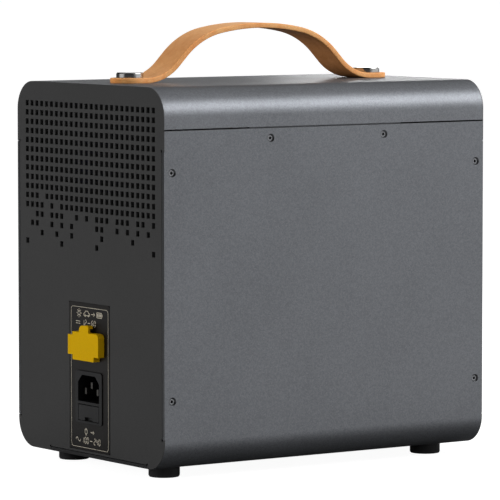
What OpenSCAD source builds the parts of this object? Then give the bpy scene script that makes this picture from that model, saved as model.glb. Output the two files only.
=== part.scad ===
// Portable power station: a box of bent sheet between two end panels, with a leather strap on top.
// X runs across the body, +Y is the rear with the two inlets, +Z is up. The feet stand on z = 0.

/* [Body] */
// Width over the two sides
body_w = 174; // [157:0.5:191]
// Length from the front face to the rear face
body_l = 251; // [226:1:276]
// Height without the feet
body_h = 240; // [216:1:264]
// Outside radius of the four long corners
corner_r = 18.5; // [12:0.5:22]
// Thickness of the side sheet and of the top cover
sheet_t = 2.2; // [1.6:0.1:2.6]
// Depth of the top cover, down to the seam
cover_h = 26.8; // [25:0.2:34]
// Width of the seam between the top cover and the sides
seam_gap = 0.8; // [0.4:0.1:1.2]
// Thickness of the front and rear panels
panel_t = 3; // [2.4:0.1:4]
// Thickness of a panel's lip, which covers the ends of the sheets
lip_t = 0.4; // [0.3:0.1:0.8]
// Distance from a lower corner to where the sheet comes through beside a panel
tongue_in = 20.5; // [18:0.5:26]
// Distance from the other lower corner to where the bottom tongue ends
far_tongue_in = 40; // [30:0.5:60]
// Distance from the top down to where the side tongues start
tongue_drop = 39.9; // [36:0.5:50]
// Gap between a tongue of the sheet and the panel
tongue_gap = 0.5; // [0.3:0.1:0.9]

/* [Feet and screws] */
// Diameter of a rubber foot
foot_d = 20; // [16:0.5:26]
// Height of a rubber foot
foot_h = 7.6; // [5:0.2:12]
// Distance of a foot's centre from the side
foot_in_x = 33.5; // [28:0.5:40]
// Distance of a foot's centre from the front or rear face
foot_in_y = 21.8; // [20:0.2:26]
// Thread diameter of the countersunk case screws
screw_d = 2.5; // [2:0.1:3]
// Head diameter of the case screws
screw_head_d = 4.6; // [4.2:0.1:5.6]
// Length of a case screw
screw_l = 7; // [6:0.5:8]
// Distance of the corner screws from the front or rear face
screw_in_y = 6.1; // [5.5:0.1:8]
// Height of the lower corner screws above the body's bottom
screw_low = 43.9; // [38:0.5:60]
// Distance of the upper corner screws below the body's top
screw_high_drop = 53.1; // [48:0.5:60]
// Distance of the seam screws below the body's top
seam_screw_drop = 33.3; // [32:0.1:36]
// Distance between the two seam screws of a side
seam_screw_span = 89; // [70:1:110]

/* [Strap handle] */
// Distance of a rivet from the front or rear face
handle_in = 31.4; // [26:0.2:36]
// Height of the strap's arch above its flat ends
handle_rise = 34.4; // [32:0.2:37]
// Width of the strap
strap_w = 25.5; // [20:0.5:32]
// Thickness of the leather
strap_t = 3.3; // [2.5:0.1:4.5]
// Slope of the strap at its steepest, in degrees
strap_slope = 46; // [44.5:0.5:50]
// Angle that the crown arc turns through on each side, in degrees
crown_turn = 11.4; // [9:0.1:13]
// Radius of the strap's shoulders
shoulder_r = 52.5; // [47:0.5:56]
// Radius of the strap's lower bends
lower_bend_r = 33.5; // [28:0.5:36]
// Flat length between a rivet's centre and the lower bend
strap_flat = 5; // [3:0.5:7]
// Diameter of a rivet's head
head_d = 17.6; // [14:0.2:22]
// Height of a rivet's head
head_h = 3.5; // [2.5:0.1:5]
// Diameter of a rivet's stud
stud_d = 8; // [6:0.5:9]

/* [Rear vents] */
// Distance of the outermost vent columns from the sides
vent_in = 12; // [10:0.2:14]
// Side of a square vent hole
vent_hole = 3.6; // [3:0.1:4]
// Number of vent columns
vent_cols = 26; // [24:1:28]
// Number of vent rows with every hole open
vent_rows = 10; // [8:1:10]
// Distance of the first row below the body's top
vent_drop = 14.4; // [12:0.2:18]

/* [Rear inlets] */
// Width of the label plate
label_w = 48.4; // [44:0.2:60]
// Height of the label plate
label_h = 95.3; // [94:0.1:100]
// Height of the label plate's centre above the body's bottom
label_z = 51.8; // [51:0.2:56]
// Thickness of the label plate
label_t = 1; // [0.6:0.1:1.6]
// How far the label plate stands out of the rear panel
label_proud = 0.2; // [0.1:0.05:0.4]
// Width of the mains inlet's bezel
inlet_w = 31.5; // [31:0.1:34]
// Height of the mains inlet's bezel
inlet_h = 33.9; // [33.6:0.1:36]
// Height of the mains inlet's centre above the body's bottom
inlet_z = 38.7; // [37:0.1:40]
// How far the bezel stands out of the rear panel
inlet_proud = 0.9; // [0.7:0.1:1.6]
// Depth of the mains inlet's body behind the rear face
inlet_depth = 27; // [25:0.5:29]
// Width of the connector cavity
cavity_w = 25.1; // [25:0.1:26]
// Height of the connector cavity
cavity_h = 16.9; // [16.4:0.1:17.2]
// Depth of the connector cavity
cavity_depth = 16.5; // [15:0.5:18]
// Chamfer on the cavity's two upper corners
cavity_chamfer = 4.7; // [4:0.1:5.5]
// Height of the cavity's centre above the bezel's centre
cavity_up = 5.75; // [5.5:0.05:6]
// Width of the fuse drawer
drawer_w = 24; // [22.5:0.1:25]
// Height of the fuse drawer
drawer_h = 10.2; // [9.6:0.1:10.6]
// Depth of the fuse drawer
drawer_depth = 22; // [20:0.5:23]
// Distance of the drawer's centre below the bezel's centre
drawer_down = 10; // [9.8:0.1:10.3]
// Clearance around the drawer
drawer_clear = 0.25; // [0.15:0.05:0.35]
// Height of the direct-current inlet above the body's bottom
solar_z = 72.3; // [71:0.1:75]
// Width of the dust cap
cap_w = 36.1; // [35:0.1:40]
// Height of the dust cap's side lobes
cap_lobe_h = 12.7; // [12.6:0.1:14]
// Width of the dust cap's middle block
cap_block_w = 25; // [22:0.1:28]
// Height of the dust cap's middle block
cap_block_h = 18.1; // [17.5:0.1:19]
// How far the dust cap stands out of the rear panel
cap_proud = 5; // [4.6:0.1:7]
// Thickness of the dust cap's face
cap_wall = 1.6; // [1.2:0.1:1.8]
// Clearance between the dust cap and the inlet
cap_clear = 0.4; // [0.3:0.05:0.6]
// Width of the dust cap's pull tab
tab_w = 11.2; // [8:0.2:14]
// Height of the pull tab above the middle block
tab_h = 4.5; // [4:0.1:6]

/* [Front panel] */
// Distance of the lamp's centre below the body's top
lamp_drop = 19; // [17:0.5:20]
// Distance of the lamp lens's ends from the sides
lamp_in = 31; // [28:1:42]
// Height of the lamp lens
lamp_h = 10; // [8:0.5:11]
// Distance of the display's centre below the body's top
display_drop = 53; // [51:0.5:55]
// Distance of the display lens's ends from the sides
display_in = 41; // [39:1:50]
// Height of the display lens
display_h = 38; // [30:1:42]
// Distance of the power and lamp buttons from the sides
top_button_in = 23; // [20:0.5:25]
// Diameter of the power button
power_button_d = 17; // [14:0.5:19]
// Diameter of the other buttons
button_d = 12; // [9:0.5:13]
// Travel of a button
button_travel = 1.2; // [0.6:0.1:1.6]
// How far a button stands out of the front panel
button_proud = 1.5; // [1.3:0.1:2]
// Clearance between a button and its hole
button_clear = 0.3; // [0.15:0.05:0.45]
// Distance of the port row's centre below the body's top
ports_drop = 101; // [99:0.5:103]
// Distance between the two rows of ports
port_row_gap = 20; // [18:0.5:24]
// Distance between the two columns of data ports
usb_gap = 22; // [18:0.5:24]
// Distance of the data ports' centre from the side
usb_in = 35; // [32:0.5:37]
// Distance of the barrel jacks from the car socket's axis
jack_from_socket = 25; // [22:0.5:27]
// Distance of the two small port buttons from the middle
port_button_x = 15; // [12:0.5:17]
// Inside diameter of the car socket
socket_d = 21.2; // [20.8:0.1:21.6]
// Wall of the car socket
socket_wall = 1.2; // [1:0.1:1.4]
// Depth of the car socket's bore
socket_depth = 34; // [28:0.5:36]
// Distance of the car socket's axis from the side
socket_in = 29; // [26:0.5:31]
// Diameter of the car socket's flange
flange_d = 27; // [26:0.5:28]
// How far the car socket's flange stands out of the front panel
flange_proud = 1; // [0.6:0.1:1.4]
// Thickness of the car socket's cap
socket_cap_t = 3; // [2:0.1:4]
// Diameter of the cap's hinge pin
hinge_pin_d = 2; // [1.6:0.1:2.4]
// Clearance between the hinge pin and the cap's knuckle
hinge_clear = 0.05; // [0.02:0.01:0.08]
// Height of the mains outlets' centre above the body's bottom
outlet_z = 66; // [58:0.5:74]
// Distance of a mains outlet's centre from the side
outlet_in = 45; // [40:0.5:47]
// Width of a mains outlet's face
outlet_w = 40; // [38:0.5:46]
// Height of a mains outlet's face
outlet_h = 36; // [34:0.5:44]
// Depth of a mains outlet behind the front face
outlet_depth = 27; // [20:0.5:28]

/* [Battery] */
// Number of cells in the stack
cell_count = 7; // [5:1:7]
// Gap between the cells and the chassis sides
cell_side_gap = 5; // [2:0.5:10]
// Distance of the banded stack from the front face
stack_in_front = 36; // [34:0.5:44]
// Distance of the banded stack from the rear face
stack_in_rear = 40; // [39:0.5:48]
// Gap that the spacer sheets fill between two cells
cell_gap = 0.5; // [0.3:0.1:0.6]
// Thickness of an end plate
end_plate_t = 3; // [2:0.1:3.2]
// Thickness of a steel band round the stack
band_t = 0.8; // [0.5:0.1:1]
// Width of a steel band
band_h = 12; // [8:0.5:16]

/* [Inner frame and electronics] */
// Thickness of the chassis sheet and of the decks
chassis_t = 1.5; // [1.2:0.1:2]
// Height of the chassis floor above the bottom sheet
floor_lift = 6; // [5.6:0.1:7]
// Gap between the chassis sides and the side sheet
chassis_gap = 4.3; // [4:0.1:4.6]
// Height of the lower deck above the cells
lower_deck_rise = 17; // [15.5:0.5:18]
// Height of the upper deck above the lower deck
upper_deck_rise = 35.3; // [33:0.1:37]
// Distance of the upper deck below the body's top
upper_deck_drop = 81; // [80:0.1:88]
// Height of the charger board above the lower deck
charger_lift = 5; // [4:0.1:6]
// Height of the inverter board above the upper deck
inverter_lift = 10.7; // [8:0.1:11]
// Thickness of a circuit board
board_t = 1.6; // [1:0.1:2]
// Side of the exhaust fan's frame
fan_size = 60; // [50:1:62]
// Depth of the exhaust fan's frame
fan_depth = 25; // [20:0.5:26]
// Distance between the exhaust fan's fixing holes
fan_hole_pitch = 50; // [41:0.1:52]
// Side of the heat-sink fan's frame
small_fan_size = 50; // [40:1:50]
// Depth of the heat-sink fan's frame
small_fan_depth = 15; // [10:0.5:16]
// Gap between a fan's blades and its frame
blade_gap = 1; // [0.6:0.1:1.6]
// Diameter of the filter capacitors
capacitor_d = 22; // [16:0.5:23]
// Height of the filter capacitors
capacitor_h = 25; // [20:0.5:38]

/* [Hidden] */
$fn = 48;

// General clearances
eps = 0.01;             // makes cutters pass through the faces that they cut
fit_gap = 0.3;          // between parts that are put together by hand
thread_gap = 0.05;      // between a screw and its pilot hole, on the radius
slip_gap = 0.1;         // between flat sheets that slide together

// How far the car socket's lid and its hinge stand out of the front panel
cap_lip_h = 2;
hinge_out = 2.4;
knuckle_d = hinge_pin_d + 2.4;
lid_proud = flange_proud + fit_gap + socket_cap_t;
front_proud = max(lid_proud, flange_proud + hinge_out + knuckle_d / 2);

// Planes of the body. The whole part is centred between its foremost and rearmost points.
mid_y = (front_proud - cap_proud) / 2;
front_y = mid_y - body_l / 2;
rear_y = mid_y + body_l / 2;
side_x = body_w / 2;
bottom_z = foot_h;
top_z = foot_h + body_h;
inner_x = side_x - sheet_t;
inner_z = bottom_z + sheet_t;
seam_z = top_z - cover_h;
front_in = front_y + panel_t;
rear_in = rear_y - panel_t;

// Screws
screw_head_h = (screw_head_d - screw_d) / 2;
boss_in = 7.2;          // depth of a screw boss, inwards from the side sheet
boss_size = 10;
boss_l = 9;             // how far the screw bosses reach inwards from a panel
screw_sunk = 0.35;      // how deep a case screw's head sits in its countersink
flange_t = 2.5;         // the top cover's inner flange
flange_len = seam_screw_span + 30;
flange_low = top_z - seam_screw_drop - 5;
foot_screw_d = 4;
foot_x = side_x - foot_in_x;
foot_y = body_l / 2 - foot_in_y;
pad_d = 12;             // raised pads under the chassis floor

handle_span = body_l - 2 * handle_in;

// Strap: a crown arc, a shoulder arc, a straight stretch and a lower bend on each side
strap_base = top_z + strap_t / 2;
bend_start = handle_span / 2 - strap_flat;
run_left = bend_start - shoulder_r * (sin(strap_slope) - sin(crown_turn))
    - lower_bend_r * sin(strap_slope);
rise_left = handle_rise - shoulder_r * (cos(crown_turn) - cos(strap_slope))
    - lower_bend_r * (1 - cos(strap_slope));
strap_det = sin(crown_turn) * sin(strap_slope) - (1 - cos(crown_turn)) * cos(strap_slope);
crown_r = (run_left * sin(strap_slope) - rise_left * cos(strap_slope)) / strap_det;
straight_len = (rise_left * sin(crown_turn) - run_left * (1 - cos(crown_turn))) / strap_det;

// Vents: full rows, then rows that fade out, one letter per hole
VENT_FADE = [
    "###.######################",
    "####.#.###################",
    "..##.###..#.#.###.###.##.#",
    ".##..#.#.#....##..#.#.#.#.",
    "...#..#..#.....#.....#....",
    "#......#......#..........#"
];
vent_top = top_z - vent_drop;
vent_pitch = (body_w - 2 * vent_in) / (vent_cols - 1);
vent_left = (vent_cols - 1) / 2 * vent_pitch;

// Rear inlets
label_mid = bottom_z + label_z;
inlet_mid = bottom_z + inlet_z;
solar_mid = bottom_z + solar_z;
inlet_body_w = inlet_w - 4;
inlet_body_h = inlet_h - 4;
inlet_face = rear_y + inlet_proud;
pin_spacing = 7;
pin_offset = 2;         // earth pin above, line and neutral below the cavity's middle
solar_flange = [31, 10.8];
solar_flange_t = 2.2;
solar_body = [16.6, 9.4];
solar_cavity = [13.8, 6.6];
solar_cavity_depth = 12;
solar_depth = 18;
solar_face = rear_y + label_proud + solar_flange_t;
contact_spacing = 7.2;
contact_d = 3.6;
fuse_d = 5.2;
fuse_l = 20;
cap_corner_r = 3;
lobe_up = 0.1;          // lobes and block aren't quite centred on the inlet
block_down = 0.35;
tab_shift = -0.8;
tab_t = 1.4;
tab_lip_l = 3.5;
tab_lip_h = 1.8;
tab_r = 4;

// Front panel
lamp_w = body_w - 2 * lamp_in;
display_w = body_w - 2 * display_in;
top_button_x = side_x - top_button_in;
usb_x = side_x - usb_in;
socket_x = side_x - socket_in;
jack_x = socket_x - jack_from_socket;
outlet_x = side_x - outlet_in;
lamp_mid = top_z - lamp_drop;
display_mid = top_z - display_drop;
ports_mid = top_z - ports_drop;
outlet_mid = bottom_z + outlet_z;
board_y = front_in + 10;            // front face of the control board
switch_h = 3.5;
lens_t = 2;
usb_a = [13.2, 5.8];
usb_c = [9, 3.3];
jack_d = 8;
jack_bore = 5.6;
lid_rim = 1.2;
lid_gap = 0.4;
lid_d = flange_d + 2 * lid_gap + 2 * lid_rim;
hinge_z = ports_mid + lid_d / 2 + 2.5;
hinge_y = front_y - flange_proud - hinge_out;
knuckle_w = 8;
lug_w = 3;

// Chassis, battery and decks
chassis_x = inner_x - chassis_gap;
chassis_l = body_l - 2 * (panel_t + 13);
floor_z = inner_z + floor_lift + chassis_t;
stack_front = front_y + stack_in_front + band_t + end_plate_t;
stack_rear = rear_y - stack_in_rear - band_t - end_plate_t;
stack_l = stack_rear - stack_front;
stack_y = (stack_front + stack_rear) / 2;
cell_w = 2 * (chassis_x - chassis_t - cell_side_gap);
cell_t = (stack_l - (cell_count - 1) * cell_gap) / cell_count;
upper_deck_z = top_z - upper_deck_drop;
lower_deck_z = upper_deck_z - upper_deck_rise;
cell_top = lower_deck_z - lower_deck_rise;
cell_h = cell_top - floor_z;
terminal = [16, 14, 2.5];
terminal_in = 22;
terminal_x = cell_w / 2 - terminal_in;
busbar_t = 2;
deck_in = 39;
deck_front = front_y + deck_in;
deck_rear = rear_y - deck_in;
deck_tab = 8;
lower_board_z = lower_deck_z + chassis_t + charger_lift;
upper_board_z = upper_deck_z + chassis_t + inverter_lift;
upper_board_top = upper_board_z + board_t;
board_w = 2 * chassis_x - 2 * chassis_t - 4;
standoff_d = 6;

// Fans
fan_x = inner_x - boss_in - 2 * fit_gap - fan_size / 2;
fan_z = upper_deck_z + chassis_t + fan_size / 2;
fan_front = rear_in - fit_gap - fan_depth;
fan_bore = fan_size - 3;
fan_hub_d = 27;
small_fan_x = 38;
small_fan_y = deck_front + 8;
small_fan_z = upper_board_top + small_fan_size / 2;
small_fan_bore = small_fan_size - 3;
small_fan_hub_d = 22;
shaft_d = 3;
hub_gap = 0.5;
lead_d = 4;
lead_bend = 5;

// What stands on the decks
part_gap = 3;
capacitor_step = capacitor_d + part_gap;
capacitor_side = -(chassis_x - chassis_t - part_gap - capacitor_d / 2);
capacitor_x = [capacitor_side, capacitor_side + capacitor_step];
capacitor_back = deck_rear - 2 - capacitor_d / 2 - 1;
capacitor_y = [capacitor_back, capacitor_back - capacitor_step - 1];
rear_capacitor_x = -4;
rear_capacitor_y = rear_in - 5 - capacitor_d / 2;
rear_board_x = rear_capacitor_x + capacitor_d / 2 + 4;
rear_board_in = 4;      // gap between the inverter board and the rear panel
heat_sink_w = 40;
heat_sink_h = 38;
heat_sink_base = 4;
fin_t = 2;
fin_step = 6.2;
fin_count = 7;
heat_sink_front = small_fan_y + small_fan_depth + 4;
heat_sink_rear = deck_rear - 45;
inverter_core = [44, 46, 40];
inverter_core_x = -14;
inverter_core_y = deck_front + 50;
charger_core = [38, 34, 20];
charger_core_y = deck_front + 62;
relay = [28, 14, 12];
relay_x = [-52, -18, 16, 50];
relay_in = 56;          // relays' front edges ahead of the deck's rear end
relay_y = deck_rear - relay_in;
charger_rim = 10;       // the charger board's sides inside the other boards' sides
choke = [20, 12, 10];
battery_board_l = 70;
battery_board_rest = 4;
battery_board_in = 30;  // from the stack's middle
battery_board_y = stack_y - battery_board_in;
shunt = [10, 14, 3];
driver_size = [48, 20];
driver_foot = [48, 5, 3];
driver_x = -(chassis_x - chassis_t - 35);
driver_y = deck_front + 22;

// ---- shapes that repeat ----

// Extrudes an outline drawn in X and Z from one Y plane to another
module along_y(y_from, y_to) {
    translate([0, y_to, 0])
        rotate([90, 0, 0])
            linear_extrude(y_to - y_from) children();
}

// Box centred on X = 0 and Z = 0
module bar_y(size, y_from, y_to) {
    translate([-size[0] / 2, y_from, -size[1] / 2])
        cube([size[0], y_to - y_from, size[1]]);
}

module rod_y(d, y_from, y_to) {
    translate([0, y_from, 0])
        rotate([-90, 0, 0])
            cylinder(d = d, h = y_to - y_from);
}

module rod_x(d, x_from, x_to) {
    translate([x_from, 0, 0])
        rotate([0, 90, 0])
            cylinder(d = d, h = x_to - x_from);
}

module round_rect(w, h, r) {
    square([w - 2 * r, h], center = true);
    square([w, h - 2 * r], center = true);
    for (x = [-1, 1], z = [-1, 1])
        translate([x * (w / 2 - r), z * (h / 2 - r)])
            circle(r);
}

module both_sides() {
    children();
    mirror([1, 0, 0]) children();
}

module both_ends() {
    children();
    translate([0, 2 * mid_y, 0])
        mirror([0, 1, 0]) children();
}

// ---- casing ----

// Cross-section of the body, moved inwards by an inset
module body_outline(inset) {
    translate([0, (bottom_z + top_z) / 2])
        round_rect(body_w - 2 * inset, body_h - 2 * inset, corner_r - inset);
}

module sheet_outline() {
    difference() {
        body_outline(0);
        body_outline(sheet_t);
    }
}

// Where the sheet runs past the panels' edges, in X and Z
module tongue_zones(grow) {
    deep = sheet_t + grow;
    side_low = bottom_z + tongue_in - grow;
    side_high = top_z - tongue_drop + grow;
    both_sides()
        translate([side_x - deep, side_low])
            square([deep + 1, side_high - side_low]);
    bottom_from = tongue_in - side_x - grow;
    translate([bottom_from, bottom_z - 1])
        square([side_x - far_tongue_in + grow - bottom_from, deep + 1]);
}

// Places a case screw, its hole or its boss: origin on the side's outer face, +Z pointing outwards
module at_case_screws() {
    for (y = [front_y + screw_in_y, rear_y - screw_in_y])
        for (z = [bottom_z + screw_low, top_z - screw_high_drop])
            at_side(y, z) children();
}

module at_seam_screws() {
    for (y = [-1, 1])
        at_side(mid_y + y * seam_screw_span / 2, top_z - seam_screw_drop) children();
}

module at_side(y, z) {
    both_sides()
        translate([side_x, y, z])
            rotate([0, 90, 0])
                children();
}

module screw_hole() {
    translate([0, 0, -sheet_t - 1])
        cylinder(d = screw_d + 0.4, h = sheet_t + 2);
    depth = screw_head_h + screw_sunk + thread_gap;
    translate([0, 0, -depth])
        cylinder(d1 = screw_d, d2 = screw_d + 2 * (depth + 1), h = depth + 1);
}

module case_screw() {
    key_d = 1.9;
    key_depth = 0.9;
    translate([0, 0, -screw_sunk])
        difference() {
            union() {
                translate([0, 0, -screw_head_h])
                    cylinder(d1 = screw_d, d2 = screw_head_d, h = screw_head_h);
                translate([0, 0, -screw_l])
                    cylinder(d = screw_d, h = screw_l - screw_head_h + eps);
            }
            translate([0, 0, -key_depth])
                cylinder(d = key_d, h = key_depth + 1, $fn = 6);
        }
}

module side_wrap() {
    slot = [34, 3];
    slot_gap = 9;
    color([0.40, 0.41, 0.43])
        difference() {
            union() {
                along_y(front_y + lip_t, rear_y - lip_t)
                    intersection() {
                        sheet_outline();
                        translate([-body_w, bottom_z - 1])
                            square([2 * body_w, seam_z - bottom_z + 1]);
                    }
                along_y(front_y, rear_y)
                    intersection() {
                        sheet_outline();
                        tongue_zones(0);
                    }
            }
            at_case_screws() screw_hole();
            at_seam_screws() screw_hole();
            at_feet()
                translate([0, 0, -1])
                    cylinder(d = foot_screw_d + 0.5, h = sheet_t + 2);
            for (side = [-1, 1], row = [-3:3])
                translate([side * 24 - slot[0] / 2, mid_y + row * slot_gap - slot[1] / 2, bottom_z - 1])
                    cube([slot[0], slot[1], sheet_t + 2]);
        }
}

module top_cover() {
    flange_x = inner_x - slip_gap - flange_t;
    weld_low = seam_z + seam_gap;
    weld_high = weld_low + 5;
    color([0.44, 0.45, 0.47])
        difference() {
            union() {
                along_y(front_y + lip_t, rear_y - lip_t)
                    intersection() {
                        sheet_outline();
                        translate([-body_w, weld_low])
                            square([2 * body_w, cover_h + 1]);
                    }
                both_sides() {
                    translate([flange_x, mid_y - flange_len / 2, flange_low])
                        cube([flange_t, flange_len, weld_high - flange_low]);
                    translate([flange_x, mid_y - flange_len / 2, weld_low])
                        cube([flange_t + slip_gap + 0.5, flange_len, weld_high - weld_low]);
                }
            }
            at_seam_screws()
                translate([0, 0, -sheet_t - flange_t - 1])
                    cylinder(d = screw_d + 2 * thread_gap, h = flange_t + 1.5);
            at_rivets()
                translate([0, 0, -sheet_t - 1])
                    cylinder(d = stud_d + 0.4, h = sheet_t + 2);
        }
}

// Round reliefs where the cuts for the tongues end
module relief_holes() {
    relief_d = 1.8;
    for (z = [bottom_z + tongue_in - tongue_gap, top_z - tongue_drop + tongue_gap])
        both_sides()
            translate([inner_x - tongue_gap, z])
                circle(d = relief_d);
    for (x = [tongue_in - side_x - tongue_gap, side_x - far_tongue_in + tongue_gap])
        translate([x, inner_z + tongue_gap])
            circle(d = relief_d);
}

// An end panel between its outer and inner faces: a plate that fits inside the sheets, and a
// thin lip over their ends that is cut back beside the tongues
module panel_plate(face, inner) {
    lip = face - lip_t * sign(face - inner);
    seat = (face + lip) / 2;
    along_y(min(seat, inner), max(seat, inner))
        difference() {
            body_outline(sheet_t + tongue_gap);
            relief_holes();
        }
    along_y(min(lip, face), max(lip, face))
        difference() {
            body_outline(0);
            tongue_zones(tongue_gap);
            relief_holes();
        }
}

// Screw bosses behind one panel
module panel_bosses(y_from, y_to) {
    for (z = [bottom_z + screw_low, top_z - screw_high_drop])
        both_sides()
            translate([inner_x - slip_gap - boss_in, y_from, z - boss_size / 2])
                cube([boss_in, y_to - y_from, boss_size]);
}

module boss_holes() {
    at_case_screws()
        translate([0, 0, -screw_l - 0.5])
            cylinder(d = screw_d + 2 * thread_gap, h = screw_l);
}

function vent_open(row, col) =
    row < vent_rows || VENT_FADE[row - vent_rows][col % len(VENT_FADE[0])] == "#";

module vent_cutters() {
    for (row = [0 : vent_rows + len(VENT_FADE) - 1], col = [0 : vent_cols - 1])
        if (vent_open(row, col))
            translate([vent_left - col * vent_pitch, 0, vent_top - row * vent_pitch])
                bar_y([vent_hole, vent_hole], rear_in - 1, rear_y + 1);
}

module rear_panel() {
    color([0.22, 0.22, 0.225])
        difference() {
            union() {
                difference() {
                    panel_plate(rear_y, rear_in);
                    vent_cutters();
                }
                panel_bosses(rear_in - boss_l, rear_in + eps);
            }
            boss_holes();
            translate([0, 0, label_mid])
                bar_y([label_w + 0.2, label_h + 0.2], rear_y - (label_t - label_proud), rear_y + 1);
            inlet_cutout(rear_in - 1, rear_y);
        }
}

// Holes that the mains inlet and the direct-current inlet pass through
module inlet_cutout(y_from, y_to) {
    translate([0, 0, inlet_mid])
        bar_y([inlet_body_w + 0.4, inlet_body_h + 0.4], y_from, y_to);
    translate([0, 0, solar_mid])
        bar_y([solar_body[0] + 0.4, solar_body[1] + 0.4], y_from, y_to);
}

module label_plate() {
    color([0.17, 0.16, 0.15])
        difference() {
            translate([0, 0, label_mid])
                along_y(rear_y - (label_t - label_proud), rear_y + label_proud)
                    round_rect(label_w, label_h, 2);
            inlet_cutout(rear_in - 1, rear_y + 1);
        }
}

// ---- feet ----

module at_feet() {
    both_ends()
        both_sides()
            translate([foot_x, mid_y + foot_y, bottom_z])
                children();
}

module feet() {
    color([0.10, 0.10, 0.105])
        at_feet()
            translate([0, 0, -foot_h])
                difference() {
                    union() {
                        cylinder(d1 = foot_d - 1, d2 = foot_d, h = 1);
                        translate([0, 0, 1])
                            cylinder(d = foot_d, h = foot_h - 1);
                    }
                    translate([0, 0, -1])
                        cylinder(d = 10, h = 4);
                    translate([0, 0, 1])
                        cylinder(d = foot_screw_d + 0.5, h = foot_h);
                }
}

module foot_screws() {
    head = [8, 2.4];
    head_z = 3 - foot_h;
    color([0.55, 0.55, 0.57])
        at_feet()
            difference() {
                union() {
                    translate([0, 0, head_z - head[1]])
                        cylinder(d = head[0], h = head[1]);
                    translate([0, 0, head_z - eps])
                        cylinder(d = foot_screw_d, h = -head_z + sheet_t + floor_lift);
                }
                translate([0, 0, head_z - head[1] - 1])
                    cylinder(d = 3, h = 2.4, $fn = 6);
            }
}

module case_screws() {
    color([0.16, 0.16, 0.17]) {
        at_case_screws() case_screw();
        at_seam_screws() case_screw();
    }
}

// ---- strap handle ----

module at_rivets() {
    both_ends()
        translate([0, mid_y + handle_span / 2, top_z])
            children();
}

// Points of an arc as [y, z] from its centre, swept from one angle to another
function arc(centre, r, from, to, steps) =
    [for (i = [0 : steps]) let (a = from + (to - from) * i / steps)
        [centre[0] + r * sin(a), centre[1] + r * cos(a)]];

// One side of the strap's outline from the crown to the end, offset from the middle of the leather
crown_c = [0, strap_base + handle_rise - crown_r];
shoulder_c = crown_c + (crown_r - shoulder_r) * [sin(crown_turn), cos(crown_turn)];
straight_end = shoulder_c + shoulder_r * [sin(strap_slope), cos(strap_slope)]
    + straight_len * [cos(strap_slope), -sin(strap_slope)];
lower_c = straight_end + lower_bend_r * [sin(strap_slope), cos(strap_slope)];
strap_end = handle_span / 2 + strap_w / 2;
function strap_side(offset) = concat(
    arc(crown_c, crown_r + offset, 0, crown_turn, 6),
    arc(shoulder_c, shoulder_r + offset, crown_turn, strap_slope, 10),
    arc(lower_c, lower_bend_r - offset, 180 + strap_slope, 180, 12),
    [[strap_end, strap_base + offset]]
);
function mirrored(points) = [for (i = [len(points) - 1 : -1 : 0]) [-points[i][0], points[i][1]]];
function without_first(points) = [for (i = [1 : len(points) - 1]) points[i]];
function reversed(points) = [for (i = [len(points) - 1 : -1 : 0]) points[i]];
function strap_line(offset) = concat(mirrored(without_first(strap_side(offset))), strap_side(offset));
function strap_loop() = concat(strap_line(strap_t / 2), reversed(strap_line(-strap_t / 2)));

module handle_strap() {
    color([0.80, 0.57, 0.33])
        difference() {
            intersection() {
                translate([strap_w / 2, mid_y, 0])
                    rotate([90, 0, -90])
                        linear_extrude(strap_w)
                            polygon([for (p = strap_loop()) [-p[0], p[1]]]);
                translate([0, mid_y, top_z - 1])
                    linear_extrude(handle_rise + strap_t + 2)
                        union() {
                            square([strap_w, handle_span], center = true);
                            for (y = [-1, 1])
                                translate([0, y * handle_span / 2])
                                    circle(d = strap_w);
                        }
            }
            at_rivets() {
                translate([0, 0, -1])
                    cylinder(d = stud_d + 0.4, h = strap_t + 2);
                translate([0, 0, strap_t])
                    cylinder(d = head_d + 0.2, h = head_h);
            }
        }
}

module handle_rivets() {
    thread_l = sheet_t + 8;
    color([0.72, 0.72, 0.73])
        at_rivets() {
            translate([0, 0, strap_t])
                cylinder(d = head_d, h = head_h - 0.5);
            translate([0, 0, strap_t + head_h - 0.5])
                cylinder(d1 = head_d, d2 = head_d - 1, h = 0.5);
            translate([0, 0, -thread_l])
                cylinder(d = stud_d, h = thread_l + strap_t + eps);
        }
}

module handle_nuts() {
    color([0.6, 0.6, 0.62])
        at_rivets()
            translate([0, 0, -sheet_t])
                difference() {
                    union() {
                        translate([0, 0, -1.5])
                            cylinder(d = 20, h = 1.5);
                        translate([0, 0, -6.5])
                            cylinder(d = 14, h = 5 + eps, $fn = 6);
                    }
                    translate([0, 0, -7])
                        cylinder(d = stud_d + 2 * thread_gap, h = 8);
                }
}

// ---- rear inlets ----

// Mains cavity outline, with its two upper corners cut off
module cavity_outline(shrink) {
    w = cavity_w / 2 - shrink;
    h = cavity_h / 2 - shrink;
    c = cavity_chamfer;
    polygon([[-w, -h], [w, -h], [w, h - c], [w - c, h], [-w + c, h], [-w, h - c]]);
}

function pin_places() =
    [[-pin_spacing, -pin_offset], [0, pin_offset], [pin_spacing, -pin_offset]];

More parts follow.
